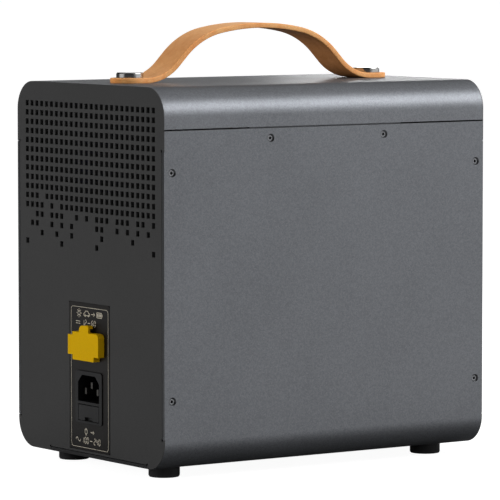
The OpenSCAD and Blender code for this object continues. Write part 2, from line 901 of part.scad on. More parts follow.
module mains_inlet() {
    cavity_mid = inlet_mid + cavity_up;
    drawer_mid = inlet_mid - drawer_down;
    color([0.12, 0.12, 0.125])
        difference() {
            union() {
                translate([0, 0, inlet_mid])
                    along_y(rear_y + label_proud, inlet_face)
                        round_rect(inlet_w, inlet_h, 2);
                translate([0, 0, inlet_mid])
                    bar_y([inlet_body_w, inlet_body_h], rear_y - inlet_depth, rear_y + label_proud + eps);
            }
            translate([0, 0, cavity_mid])
                along_y(inlet_face - cavity_depth, inlet_face + 1) cavity_outline(0);
            translate([0, 0, drawer_mid])
                bar_y(
                    [drawer_w + 2 * drawer_clear, drawer_h + 2 * drawer_clear],
                    inlet_face - drawer_depth - fit_gap,
                    inlet_face + 1
                );
            for (p = pin_places())
                translate([p[0], 0, cavity_mid + p[1]])
                    bar_y([2.1, 4.1], rear_y - inlet_depth - 1, inlet_face - cavity_depth + 1);
        }
}

module mains_pins() {
    pin_tip = 2.5;      // how far the tips stay behind the cavity's mouth
    color([0.80, 0.68, 0.42])
        for (p = pin_places())
            translate([p[0], 0, inlet_mid + cavity_up + p[1]])
                bar_y([2, 4], rear_y - inlet_depth - 4, inlet_face - pin_tip);
}

module fuse_drawer() {
    grip = [9, 2.2];
    color([0.13, 0.13, 0.135])
        translate([0, 0, inlet_mid - drawer_down])
            difference() {
                bar_y([drawer_w, drawer_h], inlet_face - drawer_depth, inlet_face);
                translate([0, 0, (grip[1] - drawer_h) / 2])
                    bar_y([grip[0], grip[1] + eps], inlet_face - 2, inlet_face + 1);
                translate([-fuse_l / 2 - 0.3, fuse_y - fuse_d / 2 - 0.3, -fuse_d / 2 - 0.2])
                    cube([fuse_l + 0.6, fuse_d + 0.6, drawer_h]);
            }
}

fuse_y = inlet_face - drawer_depth * 0.6;

module fuse() {
    color([0.78, 0.80, 0.80])
        translate([0, fuse_y, inlet_mid - drawer_down])
            rod_x(fuse_d, -fuse_l / 2, fuse_l / 2);
}

module solar_inlet() {
    c = 2;
    w = solar_cavity[0] / 2;
    h = solar_cavity[1] / 2;
    color([0.72, 0.58, 0.10])
        translate([0, 0, solar_mid])
            difference() {
                union() {
                    along_y(rear_y + label_proud, solar_face)
                        round_rect(solar_flange[0], solar_flange[1], 2);
                    bar_y(solar_body, rear_y - solar_depth, rear_y + label_proud + eps);
                }
                along_y(solar_face - solar_cavity_depth, solar_face + 1)
                    polygon([[-w, -h], [w - c, -h], [w, -h + c], [w, h - c], [w - c, h], [-w, h]]);
                for (x = [-1, 1])
                    translate([x * contact_spacing / 2, 0, 0])
                        rod_y(contact_d + 2 * thread_gap, rear_y - solar_depth - 1, solar_face - 5);
                for (x = [-1, 1])
                    translate([x * (solar_flange[0] / 2 - 3), 0, 0])
                        rod_y(2.6, rear_y, solar_face + 1);
            }
}

module solar_contacts() {
    color([0.83, 0.69, 0.35])
        translate([0, 0, solar_mid])
            for (x = [-1, 1])
                translate([x * contact_spacing / 2, 0, 0])
                    rod_y(contact_d, rear_y - solar_depth - 5, solar_face - 3.5);
}

module cap_outline() {
    square_from(-cap_w / 2, -cap_lobe_h / 2 + lobe_up, cap_w / 2, cap_lobe_h / 2 + lobe_up);
    square_from(-cap_block_w / 2, -cap_block_h / 2 - block_down, cap_block_w / 2, cap_top);
    square_from(-cap_w / 2, 0, 0, cap_top - cap_corner_r);
    square_from(-cap_w / 2 + cap_corner_r, 0, 0, cap_top);
    translate([-cap_w / 2 + cap_corner_r, cap_top - cap_corner_r])
        circle(cap_corner_r);
}

cap_top = cap_block_h / 2 - block_down;

module square_from(x_low, z_low, x_high, z_high) {
    translate([x_low, z_low])
        square([x_high - x_low, z_high - z_low]);
}

// Pull tab with one rounded shoulder
module tab_outline() {
    top = cap_top + tab_h;
    square_from(tab_shift - tab_w / 2, cap_top - 1, tab_shift + tab_w / 2, top - tab_r);
    square_from(tab_shift - tab_w / 2, cap_top - 1, tab_shift + tab_w / 2 - tab_r, top);
    translate([tab_shift + tab_w / 2 - tab_r, top - tab_r])
        circle(tab_r);
}

module dust_cap() {
    back = rear_y + label_proud + 0.2;
    face = rear_y + cap_proud;
    hollow = [solar_flange[0] + 2 * cap_clear, solar_flange[1] + 2 * cap_clear];
    plug = [solar_cavity[0] - 2 * cap_clear - 3, solar_cavity[1] - 2 * cap_clear];
    color([0.79, 0.62, 0.03])
        translate([0, 0, solar_mid]) {
            difference() {
                along_y(back, face) cap_outline();
                bar_y(hollow, back - 1, face - cap_wall);
            }
            bar_y(plug, solar_face - 2.4, face - cap_wall + eps);
            along_y(face - tab_t, face) tab_outline();
            along_y(face - tab_lip_l, face)
                intersection() {
                    tab_outline();
                    square_from(-cap_w, cap_top + tab_h - tab_lip_h, cap_w, cap_top + tab_h + 1);
                }
        }
}

// ---- chassis and battery ----

module chassis() {
    side_top = upper_deck_z + 10;
    width = 2 * chassis_x;
    color([0.62, 0.63, 0.65])
        difference() {
            union() {
                translate([-chassis_x, mid_y - chassis_l / 2, floor_z - chassis_t])
                    cube([width, chassis_l, chassis_t]);
                both_sides()
                    translate([chassis_x - chassis_t, mid_y - chassis_l / 2, floor_z - chassis_t])
                        cube([chassis_t, chassis_l, side_top - floor_z + chassis_t]);
                for (z = [lower_deck_z, upper_deck_z], y = [deck_front + 10, deck_rear - 10 - deck_tab])
                    both_sides()
                        translate([chassis_x - deck_tab, y, z - chassis_t])
                            cube([deck_tab, deck_tab * 2, chassis_t]);
                at_feet()
                    translate([0, 0, sheet_t])
                        cylinder(d = pad_d, h = floor_lift + eps);
            }
            at_feet()
                translate([0, 0, sheet_t - 1])
                    cylinder(d = foot_screw_d + 2 * thread_gap, h = floor_lift + chassis_t + 2);
        }
}

module battery_cells() {
    color([0.16, 0.30, 0.52])
        for (i = [0 : cell_count - 1])
            translate([0, stack_front + i * (cell_t + cell_gap), floor_z]) {
                translate([-cell_w / 2, 0, 0])
                    cube([cell_w, cell_t, cell_h]);
                for (x = [-1, 1])
                    translate([x * terminal_x - terminal[0] / 2, (cell_t - terminal[1]) / 2, cell_h - eps])
                        cube([terminal[0], terminal[1], terminal[2] + eps]);
            }
}

module cell_spacers() {
    color([0.85, 0.85, 0.82])
        for (i = [1 : cell_count - 1])
            translate([-cell_w / 2 + 2, stack_front + i * (cell_t + cell_gap) - cell_gap, floor_z])
                cube([cell_w - 4, cell_gap, cell_h - 4]);
}

module end_plates() {
    color([0.68, 0.69, 0.71])
        for (y = [stack_front - end_plate_t, stack_rear])
            translate([-cell_w / 2, y, floor_z])
                cube([cell_w, end_plate_t, cell_h - 2]);
}

module battery_bands() {
    outer = [cell_w + 2 * band_t, stack_l + 2 * end_plate_t + 2 * band_t];
    color([0.55, 0.56, 0.58])
        for (z = [0.25, 0.75])
            translate([0, stack_y, floor_z + z * cell_h - band_h / 2])
                linear_extrude(band_h)
                    difference() {
                        square(outer, center = true);
                        square([cell_w, stack_l + 2 * end_plate_t], center = true);
                    }
}

module busbars() {
    link_y = cell_t + cell_gap + terminal[1];
    color([0.76, 0.50, 0.32])
        for (i = [0 : cell_count - 2])
            translate([
                (i % 2 == 0 ? 1 : -1) * terminal_x - terminal[0] / 2,
                stack_front + i * (cell_t + cell_gap) + (cell_t - terminal[1]) / 2,
                cell_top + terminal[2]
            ])
                cube([terminal[0], link_y, busbar_t]);
}

module battery_board() {
    size = [terminal_x * 2 - terminal[0] - 12, battery_board_l];
    rest = battery_board_rest;
    color([0.10, 0.36, 0.20])
        translate([0, battery_board_y, cell_top]) {
            translate([-size[0] / 2, -size[1] / 2, rest])
                cube([size[0], size[1], board_t]);
            for (x = [-1, 1], y = [-1, 1])
                translate([x * (size[0] / 2 - 5), y * (size[1] / 2 - 5), 0])
                    cylinder(d = standoff_d, h = rest + eps);
            for (x = [-2 : 2])
                translate([x * 14 - shunt[0] / 2, -shunt[1] / 2, rest + board_t - eps])
                    cube(shunt);
        }
}

// ---- decks and electronics ----

module deck(z, low_y, high_y) {
    half = chassis_x - chassis_t - slip_gap;
    translate([-half, low_y, z])
        cube([2 * half, high_y - low_y, chassis_t]);
}

module lower_deck() {
    color([0.66, 0.67, 0.69])
        deck(lower_deck_z, deck_front, deck_rear);
}

// The upper deck reaches back to the rear panel under the board, and less far under the fan
module upper_deck() {
    half = chassis_x - chassis_t - slip_gap;
    fan_side = fan_x - fan_size / 2 - 2;
    color([0.66, 0.67, 0.69]) {
        deck(upper_deck_z, deck_front, deck_rear);
        translate([-half + boss_in, deck_rear - eps, upper_deck_z])
            cube([half - boss_in + rear_deck_x, rear_in - 1.5 - deck_rear, chassis_t]);
        translate([fan_side, deck_rear - eps, upper_deck_z])
            cube([half - boss_in - fan_side, rear_in - boss_l - 2 - deck_rear, chassis_t]);
    }
}

rear_deck_x = -12;      // where the rear reach of the upper deck ends

// A board with a standoff at each corner
module board(w, low_y, high_y, z, lift) {
    translate([-w / 2, low_y, z])
        cube([w, high_y - low_y, board_t]);
    for (x = [-1, 1], y = [low_y + 6, high_y - 6])
        translate([x * (w / 2 - 8), y, z - lift])
            cylinder(d = standoff_d, h = lift + eps);
}

module charger_board() {
    color([0.10, 0.36, 0.20]) {
        board(board_w - 2 * charger_rim, deck_front + 20, deck_rear - 4, lower_board_z, charger_lift);
        for (x = relay_x)
            translate([x - relay[0] / 2, relay_y, lower_board_z + board_t - eps])
                cube(relay);
    }
}

// Ferrite core with a winding through it
module transformer(size) {
    translate([-size[0] / 2, -size[1] / 2, 0])
        cube([size[0], size[1], size[2] * 0.25]);
    translate([-size[0] / 2, -size[1] / 2, size[2] * 0.75])
        cube([size[0], size[1], size[2] * 0.25]);
    translate([-size[0] * 0.42, -size[1] * 0.42, size[2] * 0.2])
        cube([size[0] * 0.84, size[1] * 0.84, size[2] * 0.6]);
}

module charger_transformer() {
    color([0.74, 0.62, 0.20])
        translate([0, charger_core_y, lower_board_z + board_t])
            transformer(charger_core);
}

module inverter_board() {
    color([0.10, 0.36, 0.20]) {
        board(board_w, deck_front + 2, deck_rear - 2, upper_board_z, inverter_lift);
        translate([-board_w / 2 + boss_in, deck_rear - 2 - eps, upper_board_z])
            cube([board_w / 2 - boss_in + rear_board_x, rear_in - rear_board_in - deck_rear + 2, board_t]);
        for (y = [46, 76])
            translate([capacitor_side, deck_front + y, upper_board_top - eps])
                cube(choke);
    }
}

module inverter_transformer() {
    color([0.70, 0.45, 0.22])
        translate([inverter_core_x, inverter_core_y, upper_board_top])
            transformer(inverter_core);
}

module filter_capacitors() {
    color([0.10, 0.22, 0.62])
        for (p = concat([for (x = capacitor_x, y = capacitor_y) [x, y]],
                        [[rear_capacitor_x, rear_capacitor_y]]))
            translate([p[0], p[1], upper_board_top])
                cylinder(d = capacitor_d, h = capacitor_h);
}

module heat_sinks() {
    len_y = heat_sink_rear - heat_sink_front;
    color([0.74, 0.75, 0.77])
        translate([small_fan_x, heat_sink_front, upper_board_top]) {
            translate([-heat_sink_w / 2, 0, 0])
                cube([heat_sink_w, len_y, heat_sink_base]);
            for (i = [0 : fin_count - 1])
                translate([(i - (fin_count - 1) / 2) * fin_step - fin_t / 2, 0, heat_sink_base - eps])
                    cube([fin_t, len_y, heat_sink_h - heat_sink_base]);
        }
}

// Small upright board in front of the inverter's transformer
module driver_board() {
    color([0.12, 0.42, 0.22])
        translate([driver_x, driver_y, upper_board_top]) {
            translate([-driver_size[0] / 2, 0, 0])
                cube([driver_size[0], board_t, driver_size[1]]);
            translate([-driver_foot[0] / 2, -driver_foot[1] / 2, 0])
                cube(driver_foot);
        }
}

// Lead in a U: out towards y_turn, up, and back in, with round bends
module lead(x, y_low_end, z_low, y_turn, z_high, y_high_end) {
    bend = lead_bend;
    dir = y_turn > y_low_end ? 1 : -1;
    translate([x, 0, z_low])
        rod_y(lead_d, min(y_low_end, y_turn - dir * bend), max(y_low_end, y_turn - dir * bend));
    translate([x, y_turn, z_low + bend])
        cylinder(d = lead_d, h = z_high - z_low - 2 * bend);
    translate([x, 0, z_high])
        rod_y(lead_d, min(y_high_end, y_turn - dir * bend), max(y_high_end, y_turn - dir * bend));
    for (end = [[z_low, 1], [z_high, -1]])
        translate([x, y_turn - dir * bend, end[0] + end[1] * bend])
            rotate([0, 90, 0])
                rotate([0, 0, end[1] > 0 ? (dir > 0 ? 0 : -90) : (dir > 0 ? 90 : 180)])
                    rotate_extrude(angle = 90)
                        translate([bend, 0])
                            circle(d = lead_d);
}

module battery_leads() {
    low = cell_top + 4 + board_t + lead_d / 2 + fit_gap;
    high = upper_board_top + lead_d / 2 + fit_gap;
    color([0.70, 0.08, 0.07])
        for (x = [-30, -18])
            lead(x, stack_y - 55, low, deck_front - lead_d, high, deck_front + 12);
}

module inlet_leads() {
    low = inlet_mid + cavity_up - pin_offset;
    high = lower_board_z + board_t + lead_d / 2 + fit_gap;
    color([0.12, 0.12, 0.13])
        for (x = [-pin_spacing, pin_spacing])
            lead_up(x, rear_y - inlet_depth - 4 - fit_gap, low, deck_rear + lead_d, high, deck_rear - 12);
}

// Lead that leaves a rear terminal forwards, climbs, and runs on forwards over a board
module lead_up(x, y_low_end, z_low, y_turn, z_high, y_high_end) {
    bend = lead_bend;
    climb_y = min(y_turn, y_low_end - bend);
    translate([x, climb_y, z_low + bend])
        cylinder(d = lead_d, h = z_high - z_low - 2 * bend);
    translate([x, 0, z_low])
        rod_y(lead_d, climb_y + bend, y_low_end);
    translate([x, 0, z_high])
        rod_y(lead_d, y_high_end, climb_y - bend);
    translate([x, climb_y + bend, z_low + bend])
        rotate([0, 90, 0])
            rotate([0, 0, -90])
                rotate_extrude(angle = 90)
                    translate([bend, 0])
                        circle(d = lead_d);
    translate([x, climb_y - bend, z_high - bend])
        rotate([0, 90, 0])
            rotate([0, 0, 90])
                rotate_extrude(angle = 90)
                    translate([bend, 0])
                        circle(d = lead_d);
}

// ---- fans ----

// Frame with its fixing holes, struts, motor cup and shaft. The cup lies at the front end.
module fan_frame(size, depth, bore, hub_d, hole_pitch) {
    cup_h = depth * 0.2;
    difference() {
        bar_y([size, size], 0, depth);
        rod_y(bore, -1, depth + 1);
        for (x = [-1, 1], z = [-1, 1])
            translate([x * hole_pitch / 2, 0, z * hole_pitch / 2])
                rod_y(4.3, -1, depth + 1);
    }
    rod_y(hub_d, 0, cup_h);
    rod_y(shaft_d, 0, depth - 4);
    for (turn = [45, 135])
        rotate([0, turn, 0])
            bar_y([bore + 2, 3], 0, cup_h * 0.6);
}

module fan_rotor(depth, bore, hub_d, blades) {
    low = depth * 0.2 + hub_gap;
    high = depth - 2;
    tip = bore / 2 - blade_gap;
    difference() {
        union() {
            rod_y(hub_d, low, high);
            intersection() {
                rod_y(2 * tip, low, high);
                for (i = [0 : blades - 1])
                    rotate([0, i * 360 / blades, 0])
                        translate([hub_d / 2 - 2, (low + high) / 2, 0])
                            rotate([38, 0, 0])
                                translate([0, -depth, -0.6])
                                    cube([tip, 2 * depth, 1.2]);
            }
        }
        rod_y(shaft_d + 2 * thread_gap, low - 1, depth - 4 + hub_gap);
    }
}

module at_exhaust_fan() {
    translate([fan_x, fan_front, fan_z]) children();
}

module at_small_fan() {
    translate([small_fan_x, small_fan_y, small_fan_z]) children();
}

module exhaust_fan_frame() {
    color([0.14, 0.14, 0.15])
        at_exhaust_fan() fan_frame(fan_size, fan_depth, fan_bore, fan_hub_d, fan_hole_pitch);
}

module exhaust_fan_rotor() {
    color([0.20, 0.20, 0.21])
        at_exhaust_fan() fan_rotor(fan_depth, fan_bore, fan_hub_d, 7);
}

module small_fan_frame() {
    color([0.14, 0.14, 0.15])
        at_small_fan()
            fan_frame(small_fan_size, small_fan_depth, small_fan_bore, small_fan_hub_d, small_fan_size - 8);
}

module small_fan_rotor() {
    color([0.20, 0.20, 0.21])
        at_small_fan() fan_rotor(small_fan_depth, small_fan_bore, small_fan_hub_d, 7);
}

// ---- front panel and what it carries ----

function button_list() = [
    [top_button_x, display_mid, power_button_d],
    [-top_button_x, display_mid, button_d],
    [-port_button_x, ports_mid, button_d],
    [port_button_x, ports_mid, button_d],
    [0, outlet_mid, button_d]
];

function usb_places() = [for (x = [-1, 1]) -usb_x + x * usb_gap / 2];
usb_a_z = ports_mid - port_row_gap / 2;
usb_c_z = ports_mid + port_row_gap / 2;

module front_panel() {
    color([0.22, 0.22, 0.225])
        difference() {
            union() {
                panel_plate(front_y, front_in);
                panel_bosses(front_in - eps, front_in + boss_l);
            }
            boss_holes();
            for (b = button_list())
                translate([b[0], 0, b[1]])
                    rod_y(b[2] + 2 * button_clear, front_y - 1, front_in + 1);
            translate([0, 0, display_mid])
                along_y(front_y - 1, front_y + lens_t) round_rect(display_w + 0.4, display_h + 0.4, 3.2);
            translate([0, 0, display_mid])
                bar_y([display_w - 6, display_h - 6], front_y - 1, front_in + 1);
            translate([0, 0, lamp_mid])
                along_y(front_y - 1, front_in + 1) round_rect(lamp_w + 0.4, lamp_h + 0.4, 3.2);
            for (x = usb_places()) {
                translate([x, 0, usb_a_z])
                    bar_y([usb_a[0] + 0.4, usb_a[1] + 0.4], front_y - 1, front_in + 1);
                translate([x, 0, usb_c_z])
                    along_y(front_y - 1, front_in + 1)
                        round_rect(usb_c[0] + 0.4, usb_c[1] + 0.4, usb_c[1] / 2 + 0.19);
            }
            for (z = [usb_a_z, usb_c_z])
                translate([jack_x, 0, z])
                    rod_y(jack_d + 0.4, front_y - 1, front_in + 1);
            translate([socket_x, 0, ports_mid])
                rod_y(socket_d + 2 * socket_wall + 0.4, front_y - 1, front_in + 1);
            for (x = [-1, 1])
                translate([x * outlet_x, 0, outlet_mid])
                    bar_y([outlet_w - 3.6, outlet_h - 3.6], front_y - 1, front_in + 1);
        }
}

module display_lens() {
    color([0.05, 0.06, 0.07])
        translate([0, 0, display_mid])
            along_y(front_y, front_y + lens_t) round_rect(display_w, display_h, 3);
}

module display_module() {
    size = [display_w - 8, display_h - 8];
    color([0.35, 0.40, 0.42])
        translate([0, 0, display_mid])
            bar_y(size, front_y + lens_t, board_y);
}

module lamp_lens() {
    color([0.93, 0.93, 0.90])
        translate([0, 0, lamp_mid])
            along_y(front_y, front_in + 1) round_rect(lamp_w, lamp_h, 3);
}

module lamp_board() {
    color([0.92, 0.92, 0.90])
        translate([0, 0, lamp_mid])
            bar_y([lamp_w + 8, lamp_h + 2], front_in + 1, front_in + 1 + board_t);
}

module front_board() {
    low = ports_mid - 18;
    high = display_mid + display_h / 2 + 2;
    half = top_button_x + 9;
    reach = front_in + button_stem();
    color([0.10, 0.36, 0.20])
        difference() {
            union() {
                translate([-half, board_y, low])
                    cube([2 * half, board_t, high - low]);
                translate([-8, board_y, outlet_mid - 8])
                    cube([16, board_t, low - outlet_mid + 8 + eps]);
                for (b = button_list())
                    translate([b[0], 0, b[1]])
                        bar_y([6, 6], reach, board_y + eps);
            }
            translate([socket_x, 0, ports_mid])
                rod_y(socket_d + 2 * socket_wall + 1, board_y - 1, board_y + board_t + 1);
        }
}

// Where the switches' faces lie behind the panel's inner face
function button_stem() = 10 - switch_h;

module button(place) {
    flange = [place[2] + 3, 1.2];
    translate([place[0], 0, place[1]]) {
        rod_y(place[2], front_y - button_proud, front_in + 0.2 + eps);
        rod_y(flange[0], front_in + 0.2, front_in + 0.2 + flange[1]);
        rod_y(4, front_in + flange[1], front_in + button_stem() - button_travel - 0.1);
    }
}

module power_button() {
    color([0.79, 0.62, 0.03]) button(button_list()[0]);
}

module lamp_button() {
    color([0.32, 0.33, 0.34]) button(button_list()[1]);
}

module usb_button() {
    color([0.32, 0.33, 0.34]) button(button_list()[2]);
}

module dc_button() {
    color([0.32, 0.33, 0.34]) button(button_list()[3]);
}

module mains_button() {
    color([0.32, 0.33, 0.34]) button(button_list()[4]);
}

// Metal shell, open at the front, with a contact tongue inside
module usb_a_ports() {
    color([0.72, 0.73, 0.75])
        for (x = usb_places())
            translate([x, 0, usb_a_z]) {
                difference() {
                    bar_y(usb_a, front_y + 0.2, board_y);
                    bar_y([usb_a[0] - 0.8, usb_a[1] - 0.8], front_y - 1, board_y - 0.8);
                }
                translate([0, 0, 0.9])
                    bar_y([usb_a[0] - 2.6, 1.8], front_y + 2.5, board_y - 0.8 + eps);
            }
}

module usb_c_ports() {
    color([0.72, 0.73, 0.75])
        for (x = usb_places())
            translate([x, 0, usb_c_z]) {
                difference() {
                    along_y(front_y + 0.2, board_y) round_rect(usb_c[0], usb_c[1], usb_c[1] / 2 - 0.01);
                    along_y(front_y - 1, board_y - 0.8)
                        round_rect(usb_c[0] - 0.7, usb_c[1] - 0.7, usb_c[1] / 2 - 0.36);
                }
                bar_y([usb_c[0] - 2.4, 0.7], front_y + 1.5, board_y - 0.8 + eps);
            }
}

module dc_jacks() {
    color([0.13, 0.13, 0.14])
        for (z = [usb_a_z, usb_c_z])
            translate([jack_x, 0, z]) {
                difference() {
                    rod_y(jack_d, front_y + 0.2, board_y);
                    rod_y(jack_bore, front_y - 1, board_y - 1);
                }
                rod_y(2.1, front_y + 1.5, board_y - 1 + eps);
            }
}

module car_socket() {
    rear = front_y + socket_depth;
    outer_d = socket_d + 2 * socket_wall;
    lug_x = knuckle_w / 2 + 0.2;
    color([0.16, 0.16, 0.17])
        translate([socket_x, 0, 0])
            difference() {
                union() {
                    translate([0, 0, ports_mid]) {
                        rod_y(outer_d, front_y, rear + 2);
                        rod_y(flange_d, front_y - flange_proud, front_y);
                    }
                    both_sides()
                        translate([0, hinge_y, hinge_z]) {
                            rod_x(knuckle_d, lug_x, lug_x + lug_w);
                            translate([lug_x, 0, -knuckle_d / 2])
                                cube([lug_w, front_y - hinge_y, knuckle_d]);
                        }
                    both_sides()
                        translate([lug_x, front_y - flange_proud, hinge_z - 8])
                            cube([lug_w, flange_proud, 8]);
                }
                translate([0, 0, ports_mid])
                    rod_y(socket_d, front_y - flange_proud - 1, rear);
                translate([0, 0, ports_mid])
                    rod_y(8.4, rear - 1, rear + 3);
                translate([0, hinge_y, hinge_z])
                    rod_x(hinge_pin_d, -knuckle_w, knuckle_w);
            }
}

module car_socket_contact() {
    rear = front_y + socket_depth;
    color([0.80, 0.68, 0.42])
        translate([socket_x, 0, ports_mid]) {
            rod_y(8, rear, rear + 5);
            rod_y(12, rear + 2.2, rear + 3.2);
        }
}

// Lid over the car socket, with a rim round the lower part of the flange and a lip to lift it by
module car_socket_cap() {
    back = front_y - flange_proud - fit_gap;
    face = back - socket_cap_t;
    lip_w = 12;
    rim_top = 8;
    color([0.20, 0.20, 0.21])
        translate([socket_x, 0, 0])
            difference() {
                union() {
                    translate([0, 0, ports_mid])
                        rod_y(lid_d, face, back);
                    translate([0, 0, ports_mid])
                        difference() {
                            rod_y(lid_d, back - eps, front_y - fit_gap);
                            rod_y(lid_d - 2 * lid_rim, back - 1, front_y + 1);
                            translate([-lid_d, back, rim_top])
                                cube([2 * lid_d, flange_proud + 2, lid_d]);
                        }
                    translate([0, hinge_y, hinge_z])
                        rod_x(knuckle_d, -knuckle_w / 2, knuckle_w / 2);
                    translate([-knuckle_w / 2, face, hinge_z - 6])
                        cube([knuckle_w, back - face, 6]);
                    translate([-lip_w / 2, face, ports_mid - lid_d / 2 - cap_lip_h])
                        cube([lip_w, back - face, cap_lip_h + 3]);
                }
                translate([0, hinge_y, hinge_z])
                    rod_x(hinge_pin_d + 2 * hinge_clear, -knuckle_w, knuckle_w);
            }
}

module cap_hinge_pin() {
    half = knuckle_w / 2 + 0.2 + lug_w;
    color([0.70, 0.70, 0.72])
        translate([socket_x, hinge_y, hinge_z])
            rod_x(hinge_pin_d - 0.02, -half, half);
}

// Face with two blade slots and an earth hole, and its body behind the panel
module outlet(x) {
    slot = [2.2, 8.4];
    slot_gap = 12.7;
    earth_d = 5.2;
    color([0.15, 0.15, 0.155])
        translate([x, 0, outlet_mid])
            difference() {
                union() {
                    along_y(front_y - 0.8, front_y) round_rect(outlet_w, outlet_h, 4);
                    bar_y([outlet_w - 4, outlet_h - 4], front_y - eps, front_y + outlet_depth);
                }
                for (s = [-1, 1])
                    translate([s * slot_gap / 2, 0, 4])
                        bar_y(slot, front_y - 1, front_y + outlet_depth + 1);
                translate([0, 0, -8])
                    rod_y(earth_d, front_y - 1, front_y + outlet_depth + 1);
            }
}

module left_outlet() {
    outlet(-outlet_x);
}

module right_outlet() {
    outlet(outlet_x);
}

// Spring leaves behind the slots, pushed in from the back
module outlet_contacts() {
    back = front_y + outlet_depth;
    color([0.80, 0.68, 0.42])
        for (x = [-outlet_x, outlet_x])
            translate([x, 0, outlet_mid]) {
                for (s = [-1, 1])
                    translate([s * 12.7 / 2 + s * 0.55, 0, 4])
                        bar_y([0.8, 7.6], back - 18, back + 3);
                translate([0, 0, -8])
                    difference() {
                        rod_y(5, back - 18, back + 3);
                        rod_y(4, back - 19, back + 4);
                    }
            }
}

side_wrap();
top_cover();
rear_panel();
front_panel();
chassis();
lower_deck();
upper_deck();
feet();
foot_screws();
case_screws();
handle_strap();
handle_rivets();
handle_nuts();
label_plate();
mains_inlet();
mains_pins();
fuse_drawer();
fuse();
solar_inlet();
solar_contacts();
dust_cap();
battery_cells();
cell_spacers();
end_plates();
battery_bands();
busbars();
battery_board();
charger_board();
charger_transformer();
inverter_board();
inverter_transformer();
filter_capacitors();
heat_sinks();
driver_board();
battery_leads();
inlet_leads();
exhaust_fan_frame();
exhaust_fan_rotor();
small_fan_frame();
small_fan_rotor();
display_lens();
display_module();
front_board();
lamp_lens();
lamp_board();
power_button();
lamp_button();
usb_button();
dc_button();
mains_button();
usb_a_ports();
usb_c_ports();
dc_jacks();
car_socket();
car_socket_contact();
car_socket_cap();
cap_hinge_pin();
left_outlet();
right_outlet();
outlet_contacts();
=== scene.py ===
"""Dresses the portable power station: finishes, leather strap, printed marks, studio and camera."""

from math import cos, pi, radians, sin

import bpy
from mathutils import Matrix, Vector

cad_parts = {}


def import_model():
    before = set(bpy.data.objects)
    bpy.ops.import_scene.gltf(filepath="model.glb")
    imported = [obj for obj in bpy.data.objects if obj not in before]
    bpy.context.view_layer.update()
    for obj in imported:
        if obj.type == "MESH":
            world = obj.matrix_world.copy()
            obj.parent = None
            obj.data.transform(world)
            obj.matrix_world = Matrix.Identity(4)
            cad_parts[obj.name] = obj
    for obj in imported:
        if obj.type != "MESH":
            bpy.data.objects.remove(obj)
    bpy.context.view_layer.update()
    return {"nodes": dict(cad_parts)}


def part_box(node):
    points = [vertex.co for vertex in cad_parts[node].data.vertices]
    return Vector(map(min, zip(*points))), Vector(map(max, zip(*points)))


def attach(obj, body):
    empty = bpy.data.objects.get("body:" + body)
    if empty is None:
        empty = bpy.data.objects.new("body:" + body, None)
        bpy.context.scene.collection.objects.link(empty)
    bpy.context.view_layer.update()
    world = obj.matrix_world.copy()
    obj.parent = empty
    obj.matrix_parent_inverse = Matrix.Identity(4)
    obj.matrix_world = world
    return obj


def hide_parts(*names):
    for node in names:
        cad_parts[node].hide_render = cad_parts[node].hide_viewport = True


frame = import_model()
NODES = frame["nodes"]
MM = 0.001


# ---- colours and node trees ----

def rgb(red, green, blue):
    """A colour given in screen values, 0 to 255, as the linear colour that a shader takes."""
    return tuple(linear(v / 255) for v in (red, green, blue)) + (1.0,)


def linear(v):
    return v / 12.92 if v <= 0.04045 else ((v + 0.055) / 1.055) ** 2.4


